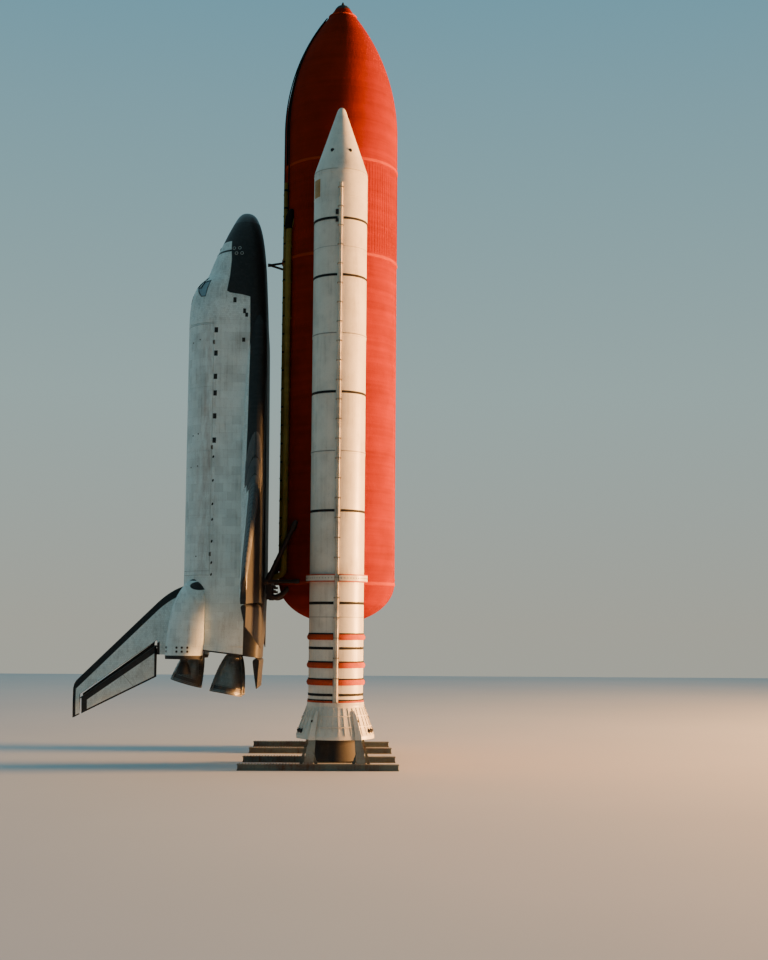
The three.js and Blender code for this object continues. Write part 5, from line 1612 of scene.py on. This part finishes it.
# Pods: blistered housings of the maneuvering engines on the tail's shoulders, quilted white
# with black tiles round the thrusters at the back, and one small bell each.
PODS = [
    [1312, 72, 462, 10, 8], [1318, 75, 462, 17, 18], [1330, 80, 462, 26, 30], [1365, 86, 466, 40, 46],
    [1420, 90, 474, 48, 54], [1480, 92, 480, 49, 56], [1534, 98.5, 487, 41.5, 51],
]


def pod_front(tree, station, place):
    """Black round the front seam and at the aft edge, and an oval patch of painted shadow behind the seam,
    drawn as black tiles.
    """
    front = rest(tree, above(tree, station["Station"], 1316.5))
    aft = above(tree, station["Station"], 1524.0)
    # Oval patch behind the front seam: a painted shadow, drawn in black tiles.
    along = maths(tree, "DIVIDE", maths(tree, "SUBTRACT", station["Station"], 1331.0), 12.0)
    across = maths(tree, "DIVIDE", maths(tree, "SUBTRACT", station["Height"], 446.0), 26.0)
    reach = maths(tree, "ADD", maths(tree, "POWER", along, 2.0), maths(tree, "POWER", across, 2.0))
    front = maths(tree, "MAXIMUM", front, ranged(tree, reach, 1.08, 0.92))
    return maths(tree, "MAXIMUM", front, aft)


pod_coat = coat("pod_blankets", pod_front, blanket=True)
for side, where in SIDES:
    shape = Form()
    rings = []
    for station in [*spaced(30, 1312, 1530), 1533.9]:
        _, y, height, half, rise = row_at(PODS, station)
        shrink = 0.6 if station > 1533 else 0.0
        ring = []
        for t in circle(72, -pi / 2):
            a, b = (half - shrink) * cos(t), (rise - shrink) * sin(t)
            ring.append(orbiter_at(station, side * max(y + a, 36), max(height + b, 431)))
        rings.append(ring)
    shape.rings(rings)
    body = f"maneuvering_pod_{where}"
    piece(shape, f"pod_shell_{where}", [pod_coat], replaces=body, smooth=40)
    fittings = Form()
    _, y, height, half, rise = row_at(PODS, 1508)
    for angle in (4, 20, -12, 80, 66):
        t = radians(angle)
        out = Vector((-sin(t), -side * cos(t), 0))
        for station in (1502, 1513):
            place = orbiter_at(station, side * (y + half * cos(t)), height + rise * sin(t))
            port(fittings, place, out, 2.8, 1.1)
    for height in (470, 482, 494):
        place = orbiter_at(1534, side * 124, height)
        port(fittings, place, Vector((0, 0, -1)), 2.8, 1.1)
    piece(fittings, f"pod_thrusters_{where}", [rim_paint, port_dark], smooth=50)

    def on_nozzle(x, y, station, side=side):
        return orbiter_at(station, side * 89.5 + x, 486 + y)

    bell = [(1534.1, 0), (1534.1, 12), (1538, 10.4), (1542, 9), (1545, 10.6), (1552, 14)]
    bell += [(1563, 17.5), (1570, 19.2), (1570, 19.8), (1572, 19.9), (1576, 20.2), (1576, 18.8)]
    bell += [(1564, 16.4), (1552, 12.6), (1546, 9), (1544, 8), (1544, 0)]
    node_name = f"maneuvering_nozzle_{where}"
    piece(
        Form().turned(bell, on_nozzle, 64), f"pod_bell_{where}", [nozzle_carbon],
        replaces=node_name, smooth=40,
    )


# Body flap: a black-tiled aluminium flap under the engines, hinged along its round front edge
shape = Form()
FLAP_STATION, FLAP_HEIGHT, FLAP_RADIUS = 1541, 285, 9.5
arc = spaced(20, pi / 2, 3 * pi / 2)
outline = [(FLAP_STATION + FLAP_RADIUS * cos(t), FLAP_HEIGHT + FLAP_RADIUS * sin(t)) for t in arc]
outline += [(1570, 278.4), (1613.4, 281), (1614, 281.6), (1614, 283.4), (1613.4, 284), (1570, 290.8)]
rings = []
for y, dip in ((-116, 0.8), (-115.2, 0), (-58, 0), (0, 0), (58, 0), (115.2, 0), (116, 0.8)):
    rings.append(
        [orbiter_at(s, y, FLAP_HEIGHT + (z - FLAP_HEIGHT) * (1 - dip * 0.06)) for s, z in outline]
    )
shape.rings(rings)
flap_tiles = coat("flap_tiles", only="black", flat=(1, 2))
piece(shape, "flap_shell", [flap_tiles], "body_flap", "body_flap", 40)


# Wings: double-delta aluminium wings, white tiles above and black below, with a grey carbon
# leading edge in panels. The elevons turn in a cove at the back on two lugs each.
WINGS = [
    # distance out, leading edge, lower surface, thickness
    [105.03, 560, 269, 66],
    [125, 668, 270, 64],
    [150, 803, 271, 60],
    [185, 992, 273, 56],
    [200, 1040, 274, 52],
    [225, 1066, 275, 48],
    [300, 1136, 280, 38],
    [400, 1236, 287, 27],
    [460, 1296, 291, 19],
    [468, 1318, 293, 15],
]
AEROFOIL = [
    # share of the chord, upper and lower surface as shares of the thickness
    [0, 0.36, 0.3],
    [0.015, 0.5, 0.17],
    [0.06, 0.66, 0.06],
    [0.16, 0.84, 0],
    [0.32, 0.97, 0],
    [0.48, 1, 0],
    [0.66, 0.86, 0],
    [0.84, 0.52, 0],
    [1, 0.06, 0],
]
ELEVON_HINGE = 1395
ELEVONS = [("inboard", 124, 312), ("outboard", 315, 466)]


def wing_row(y):
    """A wing row, straight between the rows of the table."""
    k = max(0, min(len(WINGS) - 2, sum(row[0] <= y for row in WINGS) - 1))
    a, b = WINGS[k], WINGS[k + 1]
    return [p + (q - p) * (y - a[0]) / (b[0] - a[0]) for p, q in zip(a, b)]


def trailing_edge(y):
    return 1525 - 0.1773 * y


def wing_heights(row, station):
    y, lead, lower, thickness = row
    share = min(1.0, max(0.0, (station - lead) / (trailing_edge(y) - lead)))
    k = max(0, min(len(AEROFOIL) - 2, sum(p[0] <= share for p in AEROFOIL) - 1))
    a, b = AEROFOIL[k], AEROFOIL[k + 1]
    t = (share - a[0]) / (b[0] - a[0])
    return [lower + thickness * (a[i] + t * (b[i] - a[i])) for i in (1, 2)]


def cove_at(row):
    top, bottom = wing_heights(row, ELEVON_HINGE)
    return ELEVON_HINGE - (top - bottom) / 2 - 2.2


def wing_black(tree, station, place):
    """Black along the leading edge of the upper surface."""
    out = maths(tree, "ABSOLUTE", station["Out"])
    glove = maths(tree, "MULTIPLY_ADD", out, 5.4, 75.0)
    wing = maths(tree, "ADD", out, 868.0)
    edge = maths(tree, "MINIMUM", glove, maths(tree, "MAXIMUM", wing, 1040.0))
    return rest(tree, above(tree, station["Station"], edge))


wing_white = coat("wing_tiles_upper", wing_black, flat=(1, 2))
wing_under = coat("wing_tiles_lower", only="black", flat=(1, 2))
edge_carbon = painted("edge_carbon", (66, 68, 72), (118, 114, 108), 0.5, 0.5, 0.4, 0.42)
shares = [0, 0.002, 0.006, 0.015, 0.03, 0.06, 0.1, 0.16, 0.24, 0.32, 0.4, 0.48, 0.57, 0.66, 0.75]
shares += [0.84, 0.92, 1]


def wing_ring(y, side, stations):
    row = wing_row(y)
    over = [orbiter_at(s, side * y, wing_heights(row, s)[0]) for s in stations]
    under = [orbiter_at(s, side * y, wing_heights(row, s)[1]) for s in reversed(stations)]
    return over + under


for side, where in SIDES:
    shape = Form()
    spans = [105.03, 110, 118, 125, 137, 150, 167, 185, 192, 200, 212, 225, 250, 275, 300]
    spans += [325, 350, 375, 400, 420, 440, 460, 464, 468]
    rings = []
    for y in spans:
        row = wing_row(y)
        lead, aft = row[1], cove_at(row)
        rings.append(wing_ring(y, side, [lead + (aft - lead) * share for share in shares]))
    count = len(shares)
    shape.rings(rings, [0] * (count - 1) + [1] * (count + 1))
    for name, inner, outer in ELEVONS:
        for y in (inner + 20, outer - 20):
            row = wing_row(y)
            top, bottom = wing_heights(row, ELEVON_HINGE)
            radius, height = (top - bottom) / 2, (top + bottom) / 2
            near = (ELEVON_HINGE - radius - 6, side * (y - 3), height - 3)
            away = (ELEVON_HINGE - radius - 0.5, side * (y + 3), height + 3)
            shape.box(near, away, orbiter_at, 1)
    piece(
        shape, f"wing_skin_{where}", [wing_white, wing_under], replaces=f"wing_{where}",
        smooth=40,
    )
    panels = Form()
    edges = [168 + (467.6 - 168) * k / 22 for k in range(23)]
    for inner, outer in zip(edges, edges[1:]):
        rings = []
        middle = (inner + outer) / 2
        lifts = [(inner + 0.4, 0.1), (inner + 1.0, 0.55), (middle, 0.55), (outer - 1.0, 0.55)]
        for y, lift in [*lifts, (outer - 0.4, 0.1)]:
            row = wing_row(y)
            lead = row[1]
            slope = (wing_row(y + 2)[1] - wing_row(y - 2)[1]) / 4 if y < 465 else 2.0
            reach = 15.4 * sqrt(1 + slope**2)
            reach = min(reach, cove_at(row) - lead - 4)
            places = [lead + reach * share for share in (1, 0.8, 0.6, 0.4, 0.25, 0.14, 0.06, 0.02)]
            ring = [orbiter_at(s, side * y, wing_heights(row, s)[0] + lift) for s in places]
            ring.append(orbiter_at(lead - 0.9 * lift, side * y, sum(wing_heights(row, lead)) / 2))
            ring += [orbiter_at(s, side * y, wing_heights(row, s)[1] - lift) for s in places[::-1]]
            rings.append(ring)
        panels.rings(rings)
    piece(
        panels, f"leading_edge_panels_{where}", [edge_carbon],
        replaces=f"wing_leading_edge_{where}", smooth=40,
    )
    for name, inner, outer in ELEVONS:
        ends = []
        for y in (inner, outer):
            top, bottom = wing_heights(wing_row(y), ELEVON_HINGE)
            ends.append(((top - bottom) / 2, (top + bottom) / 2, bottom))
        rings = []
        marks = [inner, inner + 0.7, *spaced(4, inner + 20, outer - 20), outer - 0.7, outer]
        for y in marks:
            share = (y - inner) / (outer - inner)
            radius, height, bottom = [a + (b - a) * share for a, b in zip(*ends)]
            squeeze = 0.965 if y in (inner, outer) else 1.0
            ring = []
            for t in spaced(20, pi / 2, 3 * pi / 2):
                ring.append((ELEVON_HINGE + radius * cos(t), height + radius * sin(t)))
            trail = trailing_edge(y)
            ring += [(trail - 1, bottom + 1.2), (trail, bottom + 1.6)]
            ring += [(trail, bottom + 3.0), (trail - 1, bottom + 3.4)]
            rings.append([orbiter_at(s, side * y, height + (z - height) * squeeze) for s, z in ring])
        node_name = f"elevon_{name}_{where}"
        shape = Form().rings(rings, [0] * 10 + [1] * 13 + [0] * 2)
        shape.finishes[-2:] = [1, 1]
        piece(
            shape, f"elevon_skin_{name}_{where}", [wing_white, wing_under], node_name,
            node_name, 40,
        )


# Fin: a swept aluminium fin with white tiles inside a black border, the rudder behind its
# hinge in two split panels that open as a speed brake, and the drag chute's box at its foot.
FIN_ROOT, FIN_TIP, HINGE_SLOPE = 502, 806, 0.7
RUDDER_FOOT, RUDDER_TOP = 572, 782


def fin_lead(z):
    shoulder = max(0.0, 1 - max(0.0, z - FIN_ROOT) / 75) ** 2
    return 1306 + (z - FIN_ROOT) * 0.985 + 24 * shoulder


def fin_trail(z):
    return 1551 + (z - FIN_ROOT) * 0.5


def fin_hinge(z):
    return 1449 + (z - FIN_ROOT) * HINGE_SLOPE


def fin_half(z):
    return 13.5 - (z - FIN_ROOT) / (FIN_TIP - FIN_ROOT) * 8


def line_distance(tree, station, foot, slope):
    """How far aft a point is of a leaning line."""
    rise = maths(tree, "SUBTRACT", station["Height"], float(FIN_ROOT))
    edge = maths(tree, "MULTIPLY_ADD", rise, slope, float(foot))
    return maths(tree, "SUBTRACT", station["Station"], edge)


def fin_border(tree, station, place):
    lead = line_distance(tree, station, 1306, 0.985)
    shoulder = ranged(tree, station["Height"], FIN_ROOT, FIN_ROOT + 75.0, 1, 0)
    shoulder = times(tree, shoulder, shoulder)
    lead = maths(tree, "MULTIPLY_ADD", shoulder, -24.0, lead)
    hinge = line_distance(tree, station, 1449, HINGE_SLOPE)
    trail = line_distance(tree, station, 1551, 0.5)
    front = rest(tree, above(tree, lead, 24.0))
    frame_black = times(tree, above(tree, hinge, -6.0), above(tree, station["Height"], 564.0))
    top = above(tree, station["Height"], 787.0)
    frame_black = times(tree, frame_black, rest(tree, top))
    rear = above(tree, trail, -4.0)
    tip = above(tree, station["Height"], 798.0)
    return maths(
        tree, "MAXIMUM", maths(tree, "MAXIMUM", front, frame_black), maths(tree, "MAXIMUM", rear, tip)
    )


def rudder_border(tree, station, place):
    hinge = line_distance(tree, station, 1449, HINGE_SLOPE)
    trail = line_distance(tree, station, 1551, 0.5)
    inside = times(tree, above(tree, hinge, 18.0), rest(tree, above(tree, trail, -5.0)))
    high = rest(tree, above(tree, station["Height"], 766.0))
    inside = times(tree, inside, high)
    inside = times(tree, inside, above(tree, station["Height"], 579.0))
    cross = line_distance(tree, station, 1588 + (660 - FIN_ROOT) * 1.12, -1.12)
    split = ranged(tree, maths(tree, "ABSOLUTE", cross), 1.4, 0.8, 0, 0.5)
    return maths(tree, "MAXIMUM", rest(tree, inside), split)


fin_coat = coat("fin_tiles", fin_border, flat=(0, 2))
rudder_coat = coat("rudder_tiles", rudder_border, flat=(0, 2))


def fin_ring(z, start, end):
    lead, hinge, trail = fin_lead(z), fin_hinge(z), fin_trail(z)
    ring = []
    for share in spaced(26, 0, 1):
        x = start + (end - start) * share**1.6
        if x <= hinge:
            half = 0.6 + (fin_half(z) - 0.6) * sqrt(max(0.0, (x - lead) / (hinge - lead)))
        else:
            half = fin_half(z) + (1 - fin_half(z)) * (x - hinge) / (trail - hinge)
        ring.append((x, half))
    return [orbiter_at(x, y, z) for x, y in ring] + [orbiter_at(x, -y, z) for x, y in ring[::-1]]


rows = [(497, 1488, 0), (502, 1491, 0), (508, 1495, 0), (515, 1500, 0), (526, 1512, 0)]
rows += [(538, 1524, 0), (550, 1524, 0), (561, 1524, 0), (571.5, 1524, 0)]
rows += [(572, fin_trail(572), 0), (640, fin_trail(640), 0), (710, fin_trail(710), 0)]
rows += [(782, fin_trail(782), 0), (798, fin_trail(798), 0.5), (803, fin_trail(803), 4)]
rows += [(806, fin_trail(806), 14)]
blank = loose(
    Form().rings([fin_ring(z, fin_lead(z) + back, trail) for z, trail, back in rows]), "fin_blank",
    [fin_coat, port_dark],
)
sweep = [1.25 * fin_half(z) + 1.6 for z in (RUDDER_FOOT, RUDDER_TOP)]
low, high = RUDDER_FOOT - 0.5, RUDDER_TOP + 5
outline = [(fin_hinge(RUDDER_FOOT) - sweep[0], low), (fin_trail(RUDDER_FOOT) + 60, low)]
outline += [(fin_trail(RUDDER_TOP) + 60, high), (fin_hinge(RUDDER_TOP) - sweep[1], high)]
slot = loose(
    Form().rings([[orbiter_at(s, y, z) for s, z in outline] for y in (-40, 40)]), "rudder_slot",
    [port_dark],
)
finished(cut(blank, [slot]), "fin_shell", replaces="vertical_fin")
discarded([slot])
chute = Form()
outline = [(1470, 506), (1490, 506), (1500, 517), (1529.6, 537), (1531, 539), (1531, 547.6)]
outline += [(1529.6, 549), (1470, 549)]
rings = []
for y, dip in ((-13, 0.9), (-12.1, 0), (12.1, 0), (13, 0.9)):
    rings.append(
        [
            orbiter_at(1500 + (s - 1500) * (1 - dip * 0.02), y, 528 + (z - 528) * (1 - dip * 0.03))
            for s, z in outline
        ]
    )
chute.rings(rings)
chute.tube([orbiter_at(s, 0, 543) for s in (1530, 1531.6)], 3.6, 24)
chute_white = coat("chute_box_tiles", only="white", flat=(0, 2))
piece(chute, "drag_chute_box", [chute_white])


def tube_radius(z):
    return fin_half(z) * 0.28


lean = atan(HINGE_SLOPE)
foot = RUDDER_FOOT - 0.47 + tube_radius(RUDDER_FOOT) * sin(lean)
top = RUDDER_TOP + 4.97 - tube_radius(RUDDER_TOP) * sin(lean)
shape = Form().tube(
    [orbiter_at(fin_hinge(z), 0, z) for z in (foot, top)],
    [tube_radius(RUDDER_FOOT), tube_radius(RUDDER_TOP)], 32,
)
piece(shape, "rudder_tube_bar", [pump_metal], "rudder_tube", "rudder_torque_tube")
seal = Form()
for low, high in ((-40, 40), (174, 186)):
    rings = []
    for z in (RUDDER_FOOT + 7.5, RUDDER_TOP - 3.5):
        hinge, reach = fin_hinge(z), 1.02 * fin_half(z) + 0.5
        if low < 0:
            turns = [radians(180 - a) for a in spaced(12, low, high)]
            ring = [(1.22 * reach * cos(t), reach * sin(t)) for t in turns]
            reach -= 0.4
            ring += [(1.22 * reach * cos(t), reach * sin(t)) for t in turns[::-1]]
        else:
            ring = [(-1.2 * reach, -1.1), (-1.2 * reach, 1.1)]
            ring += [(-0.8 * tube_radius(z), 1.1), (-0.8 * tube_radius(z), -1.1)]
        rings.append([orbiter_at(hinge + x, y, z) for x, y in ring])
    seal.rings(rings)
seal_tiles = coat("rudder_seal_tiles", only="black", flat=(0, 2))
piece(seal, "rudder_seal", [seal_tiles], "rudder_tube")
for side, where in SIDES:
    rings = []
    for share in (0, 0.01, 0.25, 0.5, 0.75, 0.99, 1):
        z = RUDDER_FOOT + 0.5 + (RUDDER_TOP - RUDDER_FOOT - 1) * share
        bevel = 0.6 * (1 - share)
        tuck = 0.25 if share in (0, 1) else 0.0
        front, trail, inner = fin_hinge(z), fin_trail(z), tube_radius(z) + 0.03
        half = fin_half(z) - 0.2 - (fin_half(z) - 1.6) * 40 / (trail - front) - tuck
        outline = [(front, fin_half(z) - 0.2 - tuck), (front + 40, half), (trail - 1, 1.45 - tuck)]
        outline += [(trail, 1.2 - tuck), (trail, 0.25), (front + 10, 0.25), (front + 5, inner)]
        outline += [(front, inner)]
        rings.append(
            [orbiter_at(x + HINGE_SLOPE * bevel * y, side * y, z + bevel * y) for x, y in outline]
        )
    node_name = f"rudder_panel_{where}"
    shape = Form().rings(rings, [0, 0, 0, 0, 1, 1, 1, 1])
    piece(shape, f"rudder_skin_{where}", [rudder_coat, port_dark], node_name, node_name, 40)


# Studio: a plain pale floor, a large warm light low on the tank's side, a soft cool light
# overhead, and a pale surround that is brightest behind the object.
floor = bpy.data.meshes.new("studio_floor")
reach = 84.0
floor.from_pydata(
    [(-reach, -reach, 0), (reach, -reach, 0), (reach, reach, 0), (-reach, reach, 0)], [], [(0, 1, 2, 3)]
)
plain, tree, shader, coordinates = finish("studio_floor", roughness=0.9)
tone = ranged(tree, cloudy(tree, coordinates["Object"], 0.05, 3), 0.3, 0.7, 0, 1)
tone = blended(tree, tone, paint(190, 194, 198), paint(198, 201, 204))
wired(tree, shader, {"Base Color": tone})
floor.materials.append(plain)
placed("studio_floor", floor)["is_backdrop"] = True


def studio_light(name, place, target, size, power, colour):
    lamp = bpy.data.lights.new(name, "AREA")
    lamp.shape = "RECTANGLE"
    lamp.size, lamp.size_y = size
    lamp.energy = power
    lamp.color = colour
    made = placed(name, lamp)
    made.location = place
    made.rotation_euler = (Vector(target) - Vector(place)).to_track_quat("-Z", "Y").to_euler()


studio_light("low_key", (70, 1, 9), (2, 0, 13), (16, 14), 340000, (1.0, 0.46, 0.14))
studio_light("overhead", (0, 50, 110), (0, 50, 0), (300, 300), 60000, (0.6, 0.93, 1.0))
world = bpy.data.worlds.new("studio")
bpy.context.scene.world = world
world.use_nodes = True
sky = world.node_tree
parts = split(sky, sky.nodes.new("ShaderNodeTexCoord").outputs["Generated"])
tone = node(sky, "ValToRGB", {"Fac": parts[2]})
stops = tone.color_ramp.elements
stops[0].position, stops[0].color = 0.0, (0.42, 0.42, 0.36, 1)
stops[1].position, stops[1].color = 0.42, (0.16, 0.36, 0.45, 1)
stops.new(0.16).color = (0.34, 0.46, 0.45, 1)
behind = ranged(sky, parts[1], -0.4, 0.8)
tone = blended(sky, behind, (0.075, 0.165, 0.19, 1), tone.outputs[0])
sky.links.new(tone, sky.nodes["Background"].inputs["Color"])

YAW, PITCH, ROLL = 0.0321, 0.1019, 0.0074
lens = bpy.data.cameras.new("camera")
lens.lens = 53.355
lens.sensor_width = 36
lens.clip_end = 1000
forward = Vector((sin(YAW) * cos(PITCH), cos(YAW) * cos(PITCH), sin(PITCH)))
right = forward.cross(Vector((0, 0, 1))).normalized()
up = right.cross(forward)
turned_right = right * cos(ROLL) + up * sin(ROLL)
turned_up = up * cos(ROLL) - right * sin(ROLL)
camera = placed("camera", lens)
camera.matrix_world = Matrix.Translation((3.679, -52.015, 4.747)) @ Matrix(
    (turned_right, turned_up, -forward)
).transposed().to_4x4()
bpy.context.scene.camera = camera

boxes = {"cad": cad_box, "visual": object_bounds()}
{key: [list(corner) for corner in box] for key, box in boxes.items()}
